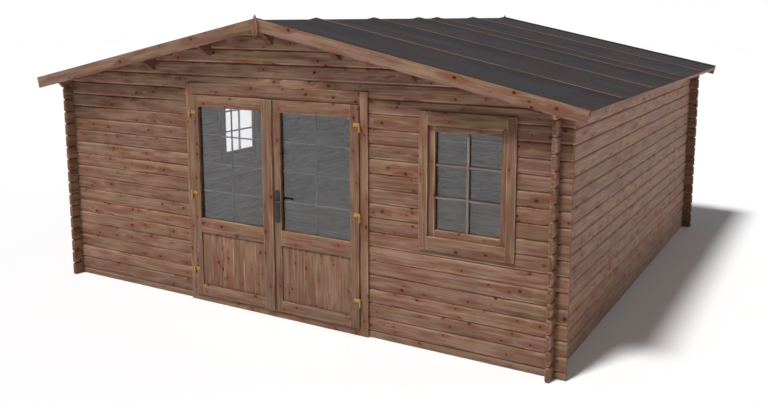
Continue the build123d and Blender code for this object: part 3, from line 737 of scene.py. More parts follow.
class Look(Enum):
    """Finishes of the cabin."""

    LOGS = Timber("stained_logs", srgb(149, 119, 100), srgb(98, 66, 47), **STAIN)
    # Painted light: a paler copy of the log stain that lifts the shade under the verges, with fewer weather
    # marks
    LIT_GABLES = Timber("gable_logs_painted_light", srgb(159, 128, 108), srgb(108, 75, 56), weather=0.3, **STAIN)
    JOINERY = Timber("stained_joinery", srgb(144, 115, 95), srgb(98, 69, 51), weather=0.35, edge_wear=2.4,
                     **STAIN)
    VERGES = Timber("stained_verges", srgb(149, 119, 102), srgb(106, 77, 61), weather=0.3, **STAIN)
    # Painted shade: a darker copy of the stain for the purlin ends, which stand in shade under the eaves
    BEAMS = Timber("beams_painted_shade", srgb(120, 87, 71), srgb(84, 55, 42), weather=0.2, **STAIN)
    ROOF_BOARDS = Timber("roof_boards", srgb(150, 114, 94), srgb(110, 78, 62), weather=0.0, **STAIN)
    WINDOW_BARS = Timber("window_bars", srgb(134, 121, 115), srgb(117, 103, 96), weather=0.0, **BAR_STAIN)
    FLOOR = Timber("floor_pine", srgb(170, 136, 108), srgb(130, 96, 72), weather=0.0, **STAIN)
    FELT = Felt("roofing_felt", srgb(43, 40, 41), srgb(70, 65, 65), srgb(152, 112, 92))
    BRASS = Metal("brass_plate", srgb(186, 148, 78), srgb(146, 112, 56), 0.85, (0.0, 1.0, 0.3, 0.5))
    ENAMEL = Metal("dark_enamel", srgb(34, 28, 32), srgb(46, 38, 44), 0.1, (0.0, 1.0, 0.5, 0.7))
    # Painted shade and light: near-black for the shaded fronts of the door bars behind the glass, pale grey
    # for light on their tops
    DOOR_BARS = Paint("grey_bars", srgb(22, 21, 21), srgb(176, 172, 172), 0.6)
    GLASS = Glass("clear_glass", (0.98, 0.985, 0.99, 1.0), 1.62, 0.04)


@dataclass(frozen=True)
class Dressing:
    """What a piece moves with, its slot in the record and its material."""

    body: Body
    slot: Slot
    material: bpy.types.Material


class Finishes:
    """Materials of every finish, each made once."""

    def __init__(self, effects: Effects) -> None:
        """Make the materials."""
        self.materials = {look: look.value.material(effects) for look in Look}

    def dressing(self, slot: Slot, look: Look, body: Body = Body.CABIN) -> Dressing:
        """Return the dressing of a piece with one of the finishes."""
        return Dressing(body, slot, self.materials[look])


# Meshes


def board_values(bm: BMesh) -> BMLayerItem:
    """Return the layer of tone, end grain and wear of each face, where the wear also holds painted light and
    a value below zero is painted shade.
    """
    layers = bm.faces.layers.float_vector
    return layers.get("board") or layers.new("board")


def boards_of(bm: BMesh) -> list[list[BMVert]]:
    """Sort the vertices of a mesh into its separate boards.

    Args:
        bm: Mesh of one or more closed shapes.

    Returns:
        The vertices of each shape.
    """
    bm.verts.index_update()
    seen: set[int] = set()
    boards = []
    for first in bm.verts:
        if first.index in seen:
            continue
        seen.add(first.index)
        board = [first]
        for vert in board:
            for edge in vert.link_edges:
                other = edge.other_vert(vert)
                if other.index not in seen:
                    seen.add(other.index)
                    board.append(other)
        boards.append(board)
    return boards


def corners_of(verts: Sequence[BMVert]) -> Corners:
    """Find the box round some vertices.

    Args:
        verts: Vertices to measure.

    Returns:
        The lowest and the highest corner.
    """
    low = Vector([min(vert.co[axis] for vert in verts) for axis in range(3)])
    high = Vector([max(vert.co[axis] for vert in verts) for axis in range(3)])
    return low, high


def reach_of(verts: Iterable[BMVert], axis: Vector) -> tuple[float, float]:
    """Return how far back and how far forward some vertices lie along a direction."""
    places = [vert.co.dot(axis) for vert in verts]
    return min(places), max(places)


def edges_of(verts: Iterable[BMVert]) -> list[BMEdge]:
    """Return the edges of some vertices, each once and in a fixed order."""
    return list(dict.fromkeys(edge for vert in verts for edge in vert.link_edges))


def faces_of(verts: Iterable[BMVert]) -> list[BMFace]:
    """Return the faces of some vertices, each once and in a fixed order."""
    return list(dict.fromkeys(face for vert in verts for face in vert.link_faces))


def geometry_of(verts: Sequence[BMVert]) -> list[BMVert | BMEdge | BMFace]:
    """Return some vertices with their edges and faces."""
    return [*verts, *edges_of(verts), *faces_of(verts)]


def direction_of(edge: BMEdge) -> Vector:
    """Return the direction of an edge."""
    return (edge.verts[1].co - edge.verts[0].co).normalized()


def depth_edges(verts: Iterable[BMVert]) -> list[BMEdge]:
    """Return those edges of some vertices that run from front to back."""
    return [edge for edge in edges_of(verts) if abs(direction_of(edge).y) > DEPTH_COS]


def is_sharp(edge: BMEdge) -> bool:
    """Tell whether two faces meet at an angle along an edge."""
    return len(edge.link_faces) == 2 and edge.calc_face_angle() > SHARP_ANGLE


def in_groove(face: BMFace) -> bool:
    """Tell whether a face is a narrow wall of a groove.

    Args:
        face: Face to test.

    Returns:
        True where it has a hollow edge and is narrow for its length.
    """
    longest = max(edge.calc_length() for edge in face.edges)
    hollow = any(is_sharp(edge) and not edge.is_convex for edge in face.edges)
    return hollow and face.calc_area() < longest * GROOVE_DEPTH


def outer_edges(verts: Iterable[BMVert]) -> list[BMEdge]:
    """Return the outward edges of some vertices, apart from those of grooves."""
    return [edge for edge in edges_of(verts)
            if is_sharp(edge) and edge.is_convex and not any(in_groove(face) for face in edge.link_faces)]


def close_holes(bm: BMesh) -> None:
    """Fill the open ends that a cut leaves."""
    bmesh.ops.holes_fill(bm, edges=[edge for edge in bm.edges if edge.is_boundary])


def cad_copy(node: str) -> BMesh:
    """Copy a node's mesh and merge its loose triangles into flat faces.

    Args:
        node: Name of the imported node.

    Returns:
        A mesh with one face for each flat side.
    """
    bm = bmesh.new()
    bm.from_mesh(FRAME["nodes"][node].data)
    bmesh.ops.remove_doubles(bm, verts=bm.verts, dist=MERGE_GAP)
    bmesh.ops.dissolve_limit(bm, angle_limit=FLAT_ANGLE, verts=bm.verts, edges=bm.edges)
    return bm


def joint_place(joint: str) -> Vector:
    """Return a point on the axis of a joint."""
    return Vector(next(item["pos_m"] for item in FRAME["joints"] if item["name"] == joint))


def bevel(bm: BMesh, edges: Iterable[BMEdge], width: float, segments: int = 2) -> list[BMFace]:
    """Round some edges.

    Args:
        bm: Mesh that holds the edges.
        edges: Edges to round.
        width: How far the rounding reaches from each edge.
        segments: Number of strips in the rounding.

    Returns:
        The faces of the rounding, which face another way than the flat sides beside it.
    """
    edges = list(edges)
    flats = {face.normal.to_tuple(NORMAL_DIGITS) for edge in edges for face in edge.link_faces}
    made = bmesh.ops.bevel(bm, geom=edges, offset=width, offset_type="OFFSET", segments=segments,
                           profile=ROUND_PROFILE, affect="EDGES", clamp_overlap=True, material=KEEP_MATERIAL)
    return [face for face in made["faces"]
            if all(face.normal.dot(Vector(flat)) < ROUNDING_COS for flat in flats)]


def ease_edges(bm: BMesh, width: float, segments: int = 2, shortest: float = 0.0) -> None:
    """Take the sharp edges off every board of a mesh, one board at a time, and mark them as worn.

    Args:
        bm: Mesh of one or more boards.
        width: Width of the rounding, which is less on slim boards.
        segments: Number of strips in the rounding.
        shortest: Length of the shortest edge that is rounded.
    """
    values = board_values(bm)
    plans = []
    for board in boards_of(bm):
        low, high = corners_of(board)
        edges = [edge for edge in outer_edges(board) if edge.calc_length() > shortest]
        plans.append((edges, min(width, SLIM_SHARE * min(high - low))))
    for edges, ease in plans:
        for face in bevel(bm, edges, ease, segments):
            face[values] = WEAR_AND_LIGHT


def paint_slope_light(bm: BMesh, faces: Iterable[BMFace], low: float, high: float, wear: float) -> None:
    """Give those of some faces that look up or down at a slope painted light, or painted shade where the
    value is below zero.

    Args:
        bm: Mesh whose edges have been eased.
        faces: Faces to choose from.
        low: Lowest height of the normals of these faces.
        high: Greatest height of the normals of these faces.
        wear: How much painted light they take, or below zero how much painted shade.
    """
    values = board_values(bm)
    for face in faces:
        if low < face.normal.z < high:
            face[values] = WEAR_AND_LIGHT * wear


def is_bar(board: Sequence[BMVert]) -> bool:
    """Tell whether a board is a slim glazing bar."""
    low, high = corners_of(board)
    return sorted(high - low)[1] < BAR_LIMIT


def part_bars(bm: BMesh) -> BMesh:
    """Part the slim glazing bars from the mesh of a frame.

    Args:
        bm: Mesh of the frame, which loses its bars.

    Returns:
        A mesh of the bars.
    """
    bars = bm.copy()
    for mesh, kept in ((bm, False), (bars, True)):
        others = [vert for board in boards_of(mesh) if is_bar(board) != kept for vert in board]
        bmesh.ops.delete(mesh, geom=others, context="VERTS")
    return bars


def lay_grain(bm: BMesh, seed: str, along: Vector | None = None) -> None:
    """Give every board its own grain, which runs along it, and its own tone.

    Args:
        bm: Mesh of one or more boards.
        seed: Word that fixes the random values.
        along: Direction of the grain where it isn't that of the longest edge.
    """
    chance = random.Random(seed)
    grain = bm.verts.layers.float_vector.new("grain")
    values = board_values(bm)
    for board in boards_of(bm):
        run = along or direction_of(max(edges_of(board), key=lambda edge: edge.calc_length()))
        helper = min((X_AXIS, Y_AXIS, Z_AXIS), key=lambda axis: abs(axis.dot(run)))
        first = run.cross(helper).normalized()
        second = run.cross(first)
        sizes = [high - low for low, high in (reach_of(board, first), reach_of(board, second))]
        across, depth = (first, second) if sizes[0] > sizes[1] else (second, first)
        low, high = corners_of(board)
        middle = (low + high) / 2
        shift = Vector((chance.uniform(0.0, GRAIN_RUN), chance.uniform(-GRAIN_SIDE, GRAIN_SIDE),
                        chance.uniform(*HEART_DEPTHS)))
        tone = chance.random()
        for vert in board:
            place = vert.co - middle
            vert[grain] = Vector((place.dot(run), place.dot(across), place.dot(depth))) + shift
        for face in faces_of(board):
            wear = face[values].z
            face[values] = Vector((tone, float(abs(face.normal.dot(run)) > END_COS), wear))
            face.smooth = wear > 0.0


def saw(source: BMesh, axis: Vector, width: float, gap: float) -> BMesh:
    """Saw a sheet into boards.

    Args:
        source: Mesh of the whole sheet.
        axis: Direction across the boards.
        width: Width of a board, which is changed a little so that a whole number fits.
        gap: Width of the joint between two boards.

    Returns:
        A mesh of separate closed boards.
    """
    low, high = reach_of(source.verts, axis)
    count = round((high - low) / width)
    step = (high - low) / count
    boards = bmesh.new()
    scratch = bpy.data.meshes.new("board")
    for place in range(count):
        board = source.copy()
        start = low + place * step + gap / 2
        end = low + (place + 1) * step - gap / 2
        for limit, way in ((start, -axis), (end, axis)):
            bmesh.ops.bisect_plane(board, geom=[*board.verts, *board.edges, *board.faces],
                                   plane_co=axis * limit, plane_no=way, clear_outer=True)
            close_holes(board)
        bmesh.ops.recalc_face_normals(board, faces=board.faces)
        board.to_mesh(scratch)
        boards.from_mesh(scratch)
        board.free()
    bpy.data.meshes.remove(scratch)
    return boards


def block(bm: BMesh, low: Vector, high: Vector) -> list[BMVert]:
    """Add a block between two corners to a mesh and return its vertices."""
    place = Matrix.Translation((low + high) / 2) @ Matrix.Diagonal((*(high - low), 1.0))
    return bmesh.ops.create_cube(bm, size=1.0, matrix=place)["verts"]


def drum(bm: BMesh, base: Vector, axis: Vector, radius: float, length: float, ease: float = 0.0,
         tip: float | None = None, sides: int = 24) -> list[BMVert]:
    """Add a cylinder or cone with rounded rims to a mesh.

    Args:
        bm: Mesh to add to.
        base: Centre of its foot.
        axis: Direction from foot to tip.
        radius: Radius at the foot.
        length: Length along the axis.
        ease: Width of the rounding of the rims, or none.
        tip: Radius at the tip, where it isn't that of the foot.
        sides: Number of sides.

    Returns:
        The vertices of the shape before its rounding.
    """
    turn = axis.to_track_quat("Z", "Y").to_matrix().to_4x4()
    place = Matrix.Translation(base + axis * length / 2) @ turn
    verts = bmesh.ops.create_cone(bm, cap_ends=True, segments=sides, radius1=radius, depth=length,
                                  radius2=radius if tip is None else tip, matrix=place)["verts"]
    if ease:
        bevel(bm, [edge for edge in edges_of(verts)
                   if any(len(face.verts) == sides for face in edge.link_faces)], ease)
    return verts


def screw(bm: BMesh, place: Vector, out: Vector, radius: float) -> None:
    """Add a domed screw head with a socket.

    Args:
        bm: Mesh to add to.
        place: Point on the surface under the head.
        out: Direction that the head faces.
        radius: Radius of the head.
    """
    verts = drum(bm, place, out, radius, radius * SCREW_RISE, tip=radius * SCREW_CROWN, sides=SCREW_SIDES)
    cap = max(faces_of(verts), key=lambda face: face.calc_center_median().dot(out))
    bmesh.ops.inset_region(bm, faces=[cap], thickness=radius * SOCKET_RIM)
    bmesh.ops.translate(bm, verts=cap.verts, vec=-out * radius * SOCKET_DEPTH)


def sweep(bm: BMesh, sections: Sequence[Matrix], sides: int = 16) -> None:
    """Pull a round section along a path.

    Args:
        bm: Mesh to add to.
        sections: Place, turn and size of a unit circle at each step.
        sides: Number of sides of the section.
    """
    made = bmesh.ops.create_circle(bm, cap_ends=True, radius=1.0, segments=sides, matrix=sections[0])
    cap = made["verts"][0].link_faces[0]
    first = bmesh.ops.duplicate(bm, geom=[cap])["geom"]
    bmesh.ops.reverse_faces(bm, faces=[item for item in first if isinstance(item, BMFace)])
    for before, after in zip(sections, sections[1:]):
        cap = bmesh.ops.extrude_discrete_faces(bm, faces=[cap])["faces"][0]
        bmesh.ops.transform(bm, matrix=after @ before.inverted(), verts=cap.verts)
    bmesh.ops.remove_doubles(bm, verts=bm.verts, dist=MERGE_GAP)
    bmesh.ops.recalc_face_normals(bm, faces=bm.faces)


def link_object(name: str, data: bpy.types.ID) -> bpy.types.Object:
    """Put a mesh, lamp or camera into the scene.

    Args:
        name: Name of the object.
        data: Its mesh, lamp or camera.

    Returns:
        The new object.
    """
    item = bpy.data.objects.new(name, data)
    bpy.context.scene.collection.objects.link(item)
    return item


def publish(bm: BMesh, name: str, dressing: Dressing, *stands_for: str) -> None:
    """Make a finished piece from a mesh.

    Args:
        bm: Mesh of the piece, which is freed.
        name: Name of the piece.
        dressing: Its body, slot and material.
        stands_for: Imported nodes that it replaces.
    """
    mesh = bpy.data.meshes.new(name)
    bm.to_mesh(mesh)
    bm.free()
    if "grain" not in mesh.attributes:
        mesh.shade_smooth()
    mesh.set_sharp_from_angle(angle=SMOOTH_ANGLE)
    mesh.materials.append(dressing.material)
    piece = link_object(name, mesh)
    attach(piece, dressing.body.value)
    if stands_for:
        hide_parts(*stands_for)
    LOG.info("%s: %d faces on %s", name, len(mesh.polygons), dressing.body.value)


def dress_node(node: str, dressing: Dressing, ease: float, along: Vector | None = None, segments: int = 2,
               bm: BMesh | None = None) -> None:
    """Replace a packed timber node by a copy with eased edges and grain.

    Args:
        node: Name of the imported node.
        dressing: Its body, slot and material.
        ease: Width of the rounding of its edges.
        along: Direction of the grain where it isn't that of the longest edge.
        segments: Number of strips in the rounding.
        bm: Copy of the node where one has been made.
    """
    bm = bm or cad_copy(node)
    ease_edges(bm, ease, segments)
    lay_grain(bm, node, along)
    publish(bm, f"{node}_timber", dressing, node)


def dress_frame(node: str, dressing: Dressing, ease: float, segments: int = 2) -> BMesh:
    """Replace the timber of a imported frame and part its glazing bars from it.

    Args:
        node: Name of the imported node.
        dressing: Its body, slot and material.
        ease: Width of the rounding of its edges.
        segments: Number of strips in the rounding.

    Returns:
        A mesh of the bars.
    """
    frame = cad_copy(node)
    bars = part_bars(frame)
    dress_node(node, dressing, ease, segments=segments, bm=frame)
    return bars


@dataclass(frozen=True)
class Boarding:
    """Boards that a packed sheet is sawn into, side by side from front to back."""

    width: float
    ease: float
    gap: float = 0.0006

    def lay(self, node: str, name: str, dressing: Dressing) -> None:
        """Replace a packed sheet by its boards.

        Args:
            node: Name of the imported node.
            name: Name of the new piece.
            dressing: Its body, slot and material.
        """
        sheet = cad_copy(node)
        bm = saw(sheet, Y_AXIS, self.width, self.gap)
        sheet.free()
        ease_edges(bm, self.ease, segments=1)
        lay_grain(bm, node)
        publish(bm, name, dressing, node)


# Sub-assemblies


@dataclass
class LogWalls:
    """Notched log walls and gables."""

    finishes: Finishes
    nodes: tuple[str, ...] = ("front_wall_left", "front_wall_right", "front_gable", "back_wall", "back_gable",
                              "left_wall", "right_wall")
    sheltered: tuple[str, ...] = ("front_gable", "back_gable")
    edge_ease: float = 0.0016
    shortest_edge: float = 0.02
    end_bevel: float = 0.009
    bevel_slopes: tuple[float, float] = (0.3, 0.9)
    underside_light: float = 1.65
    topside_light: float = 0.25
    sheltered_light: float = 0.5

    def build(self) -> None:
        """Dress every wall, with the bevels of its outer side painted lighter to lift the shade in the
        grooves between the logs.
        """
        low, high = self.bevel_slopes
        for node in self.nodes:
            bm = cad_copy(node)
            self.bevel_ends(bm)
            ease_edges(bm, self.edge_ease, shortest=self.shortest_edge)
            outside = [face for face in bm.faces if face.normal.dot(face.calc_center_median()) > 0.0]
            look, underside = Look.LOGS, self.underside_light
            if node in self.sheltered:
                look, underside = Look.LIT_GABLES, self.sheltered_light
            # Painted light: down-facing and up-facing bevels are lightened against the shade in the V
            # grooves, less so under the verges
            paint_slope_light(bm, outside, -high, -low, underside)
            paint_slope_light(bm, outside, low, high, self.topside_light)
            lay_grain(bm, node)
            publish(bm, f"{node}_timber", self.finishes.dressing(Slot.LOGS, look), node)

    def bevel_ends(self, bm: BMesh) -> None:
        """Bevel the upright edges of the free log ends with slanting cuts through the whole wall.

        Args:
            bm: Mesh of a wall.
        """
        low, high = corners_of(bm.verts)
        size = high - low
        run, across = (X_AXIS, Y_AXIS) if size.x > size.y else (Y_AXIS, X_AXIS)
        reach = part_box("back_wall")[1].x
        for end in (run, -run):
            for face in (across, -across):
                geom = self.free_ends(bm, end, reach)
                edge = end * reach + face * max(low.dot(face), high.dot(face))
                bmesh.ops.bisect_plane(bm, geom=geom, plane_co=edge - end * self.end_bevel,
                                       plane_no=(end + face).normalized(), clear_outer=True)
                close_holes(bm)
        bmesh.ops.recalc_face_normals(bm, faces=bm.faces)

    @staticmethod
    def free_ends(bm: BMesh, end: Vector, reach: float) -> list[BMVert | BMEdge | BMFace]:
        """Return the geometry of the logs that stop at a distance along a direction."""
        logs = [log for log in boards_of(bm) if abs(reach_of(log, end)[1] - reach) < END_SLACK]
        return geometry_of([vert for log in logs for vert in log])


@dataclass
class Roof:
    """Purlins, boards, felt, trims, verge boards and finials."""

    finishes: Finishes
    purlins: tuple[str, ...] = ("ridge_purlin", "left_upper_purlin", "left_lower_purlin",
                                "right_upper_purlin", "right_lower_purlin")
    boarding: Boarding = Boarding(width=0.096, ease=0.0025)
    edge_ease: float = 0.0018
    crest_ease: float = 0.009
    crest_segments: int = 3
    crest_drift: float = 0.1
    upward_cos: float = 0.5
    felt_thickness: float = 0.004
    felt_turn_up: float = 0.03
    flat_cos: float = 0.9

    def build(self) -> None:
        """Build the roof from the purlins up."""
        beams = self.finishes.dressing(Slot.BEAMS, Look.BEAMS)
        boards = self.finishes.dressing(Slot.ROOF_BOARDS, Look.ROOF_BOARDS)
        verges = self.finishes.dressing(Slot.VERGES, Look.VERGES)
        felt = self.finishes.dressing(Slot.FELT, Look.FELT)
        for node in self.purlins:
            dress_node(node, beams, self.edge_ease)
        for side in ("left", "right"):
            self.boarding.lay(f"roof_boards_{side}", f"roof_boards_{side}_planks", boards)
            dress_node(f"{side}_eave_trim", verges, self.edge_ease)
        for end, inward in (("front", Y_AXIS), ("back", -Y_AXIS)):
            dress_node(f"{end}_verge_boards", verges, self.edge_ease)
            dress_node(f"{end}_finial", verges, self.edge_ease, Z_AXIS)
            self.build_felt_edge(end, inward, felt)
        self.build_felt(felt)

    def build_felt(self, dressing: Dressing) -> None:
        """Round the welts of the felt and mark their crests as worn.

        Args:
            dressing: Body, slot and material of the felt.
        """
        bm = cad_copy("roof_felt")
        values = board_values(bm)
        crests = [[edge for edge in edges_of(board) if self.is_crest(edge)] for board in boards_of(bm)]
        for crest in filter(None, crests):
            for face in bevel(bm, crest, self.crest_ease, self.crest_segments):
                face[values] = WEAR_AND_LIGHT
        publish(bm, "roof_felt_sheets", dressing, "roof_felt")

    def is_crest(self, edge: BMEdge) -> bool:
        """Tell whether an edge is the top of a welt.

        Args:
            edge: Edge of a felt sheet.

        Returns:
            True where it runs down the slope between two upward faces that meet at an angle.
        """
        upward = all(face.normal.z > self.upward_cos for face in edge.link_faces)
        downhill = abs(direction_of(edge).y) < self.crest_drift
        return upward and downhill and edge.calc_face_angle(0.0) > SHARP_ANGLE and edge.is_convex

    def build_felt_edge(self, end: str, inward: Vector, dressing: Dressing) -> None:
        """Turn a strip of felt up the inner sides and over the tops of the verge boards at one end.

        Args:
            end: Which end of the roof.
            inward: Direction from there into the roof.
            dressing: Body, slot and material of the felt.
        """
        bm = cad_copy(f"{end}_verge_boards")
        for board in boards_of(bm):
            top = max(faces_of(board), key=lambda face: face.normal.z)
            foot = top.calc_center_median() - top.normal * self.felt_turn_up
            bmesh.ops.bisect_plane(bm, geom=geometry_of(board), plane_co=foot, plane_no=top.normal,
                                   clear_inner=True)
        bare = [face for face in bm.faces if max(face.normal.z, face.normal.dot(inward)) <= self.flat_cos]
        bmesh.ops.delete(bm, geom=bare, context="FACES")
        bmesh.ops.solidify(bm, geom=bm.faces[:], thickness=-self.felt_thickness)
        bmesh.ops.recalc_face_normals(bm, faces=bm.faces)
        board_values(bm)
        publish(bm, f"{end}_felt_edge", dressing)


@dataclass
class Glazing:
    """Clear panes of the windows and doors."""

    finishes: Finishes

    def dress_pane(self, node: str) -> None:
        """Give a packed pane its clear glass.

        Args:
            node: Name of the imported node.
        """
        slots = FRAME["nodes"][node].data.materials
        slots.clear()
        slots.append(self.finishes.materials[Look.GLASS])
        LOG.info("%s: glazed", node)


@dataclass
class Windows:
    """Fixed barred windows of the front and left walls."""

    finishes: Finishes
    glazing: Glazing
    names: tuple[str, ...] = ("front_window", "left_window")
    edge_ease: float = 0.004
    edge_segments: int = 3
    bar_ease: float = 0.0035
    top_slope: float = 0.3
    top_shade: float = -1.9

    def build(self) -> None:
        """Dress both windows, whose paler bars have tops darkened with painted shade."""
        joinery = self.finishes.dressing(Slot.JOINERY, Look.JOINERY)
        for name in self.names:
            dress_node(f"{name}_frame", joinery, self.edge_ease, segments=self.edge_segments)
            bars = dress_frame(f"{name}_sash", joinery, self.edge_ease, self.edge_segments)
            ease_edges(bars, self.bar_ease)
            # Painted shade: the tops of the bars are darkened for their shade and their reflection in the
            # glass
            paint_slope_light(bars, bars.faces, self.top_slope, math.inf, self.top_shade)
            lay_grain(bars, f"{name}_bars")
            publish(bars, f"{name}_bars", self.finishes.dressing(Slot.JOINERY, Look.WINDOW_BARS))
            self.glazing.dress_pane(f"{name}_glass")


@dataclass
class DoorFrame:
    """Jambs, head and threshold of the doorway."""

    finishes: Finishes
    nodes: tuple[str, ...] = ("door_left_jamb", "door_right_jamb", "door_head", "door_threshold")
    edge_ease: float = 0.003
    edge_segments: int = 3

    def build(self) -> None:
        """Dress the frame."""
        joinery = self.finishes.dressing(Slot.JOINERY, Look.JOINERY)
        for node in self.nodes:
            dress_node(node, joinery, self.edge_ease, segments=self.edge_segments)


@dataclass
class DoorLeaf:
    """One leaf of the double door with its glazing bars, panel and glass."""

    finishes: Finishes
    glazing: Glazing
    side: str
    body: Body
    boarding: tuple[str, ...]
    edge_ease: float = 0.002
    bar_ease: float = 0.002
    front_light: float = 0.14

    def build(self) -> None:
        """Dress the timber, paint the bars and glaze the leaf."""
        joinery = self.finishes.dressing(Slot.JOINERY, Look.JOINERY, self.body)
        for part in self.boarding:
            dress_node(f"{self.side}_door_{part}", joinery, self.edge_ease)
        self.build_bars(dress_frame(f"{self.side}_door_frame", joinery, self.edge_ease))
        self.glazing.dress_pane(f"{self.side}_door_glass")

    def build_bars(self, bm: BMesh) -> None:
        """Round the glazing bars behind the glass and paint light onto the level ones, most of all on top.

        Args:
            bm: Mesh of the bars.
        """
        ease_edges(bm, self.bar_ease)
        values = board_values(bm)
        for board in boards_of(bm):
            low, high = corners_of(board)
            level = high.x - low.x > high.z - low.z
            for face in faces_of(board):
                # Painted light: the tops by their height, and the fronts of the level bars a little
                face[values] = WEAR_AND_LIGHT * max(face.normal.z, self.front_light * level)
        dressing = self.finishes.dressing(Slot.JOINERY, Look.DOOR_BARS, self.body)
        publish(bm, f"{self.side}_door_bars", dressing)


@dataclass
class Hinges:
    """Brass hinges of both leaves, with their knuckles, plates and screws."""

    finishes: Finishes
    plate_thickness: float = 0.003
    plate_height: float = 0.028
    plate_corner: float = 0.005
    corner_segments: int = 4
    rim_ease: float = 0.0006
    cap_height: float = 0.003
    cap_share: float = 0.8
    cap_tip_share: float = 0.4
    web_share: float = 0.5
    screw_radius: float = 0.004
    plate_screws: tuple[float, ...] = (0.22, 0.5, 0.78)
    strap_screws: tuple[float, ...] = (0.25, 0.75)
    strap_screw_share: float = 0.8
    strap_screw_offset: float = 0.15

    def build(self) -> None:
        """Build the leaf halves and the frame halves."""
        for side, body in (("left", Body.LEFT_DOOR), ("right", Body.RIGHT_DOOR)):
            bm = bmesh.new()
            for low, high in self.places(f"{side}_door_hinges"):
                self.leaf_half(bm, low, high, joint_place(f"{side}_door_swing"))
            dressing = self.finishes.dressing(Slot.HINGES, Look.BRASS, body)
            publish(bm, f"{side}_door_brass", dressing, f"{side}_door_hinges")
        bm = bmesh.new()
        for low, high in self.places("door_frame_hinges"):
            side = "left" if high.x < 0.0 else "right"
            self.frame_half(bm, low, high, joint_place(f"{side}_door_swing"))
        dressing = self.finishes.dressing(Slot.HINGES, Look.BRASS)
        publish(bm, "door_frame_brass", dressing, "door_frame_hinges")

    @staticmethod
    def places(node: str) -> Iterator[Corners]:
        """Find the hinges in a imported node.

        Args:
            node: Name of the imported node.

        Returns:
            The corners of each hinge, one after another.
        """
        bm = cad_copy(node)
        for board in boards_of(bm):
            yield corners_of(board)
        bm.free()

    def knuckle(self, bm: BMesh, axis: Vector, radius: float, foot: float, top: float, way: Vector) -> None:
        """Add a barrel with a domed cap on its outer end.

        Args:
            bm: Mesh to add to.
            axis: Point on the hinge's axis.
            radius: Radius of the barrel.
            foot: Height of its lower end.
            top: Height of its upper end.
            way: Direction of its outer end, up or down.
        """
        drum(bm, Vector((axis.x, axis.y, foot)), Z_AXIS, radius, top - foot, self.rim_ease)
        end = Vector((axis.x, axis.y, top if way.z > 0.0 else foot))
        drum(bm, end, way, radius * self.cap_share, self.cap_height, self.rim_ease,
             radius * self.cap_tip_share)

    def plate(self, bm: BMesh, low: Vector, high: Vector) -> None:
        """Add a thin plate with round corners that faces the front."""
        bevel(bm, depth_edges(block(bm, low, high)), self.plate_corner, self.corner_segments)

    def leaf_half(self, bm: BMesh, low: Vector, high: Vector, axis: Vector) -> None:
        """Add the upper knuckle and the plate that is screwed to the leaf.

        Args:
            bm: Mesh to add to.
            low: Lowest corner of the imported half.
            high: Its highest corner.
            axis: Point on the hinge's axis.
        """
        radius = axis.y - low.y
        front = high.y - self.plate_thickness
        on_left = axis.x < 0.0
        left, right = (axis.x, high.x) if on_left else (low.x, axis.x)
        self.plate(bm, Vector((left, front, high.z - self.plate_height)), Vector((right, high.y, high.z)))
        self.knuckle(bm, axis, radius, low.z, high.z, Z_AXIS)
        start, end = (left + radius, right) if on_left else (left, right - radius)
        for share in self.plate_screws:
            place = Vector((start + (end - start) * share, front, high.z - self.plate_height / 2))
            screw(bm, place, -Y_AXIS, self.screw_radius)

    def frame_half(self, bm: BMesh, low: Vector, high: Vector, axis: Vector) -> None:
        """Add the lower knuckle and the strap on the frame, with the web between them.

        Args:
            bm: Mesh to add to.
            low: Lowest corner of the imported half.
            high: Its highest corner.
            axis: Point on the hinge's axis.
        """
        radius = axis.y - low.y
        front = high.y - self.plate_thickness
        middle = (low.z + high.z) / 2
        outer = low.x if axis.x < 0.0 else high.x
        self.knuckle(bm, axis, radius, low.z, middle, -Z_AXIS)
        left, right = sorted((outer, axis.x))
        self.plate(bm, Vector((left, front, low.z)), Vector((right, high.y, middle)))
        web = self.plate_thickness / 2
        web_low = Vector((axis.x - web, axis.y + radius * self.web_share, low.z))
        block(bm, web_low, Vector((axis.x + web, high.y, middle)))
        across = (outer + axis.x) / 2 + (outer - axis.x) * self.strap_screw_offset
        for share in self.strap_screws:
            place = Vector((across, front, low.z + (middle - low.z) * share))
            screw(bm, place, -Y_AXIS, self.screw_radius * self.strap_screw_share)


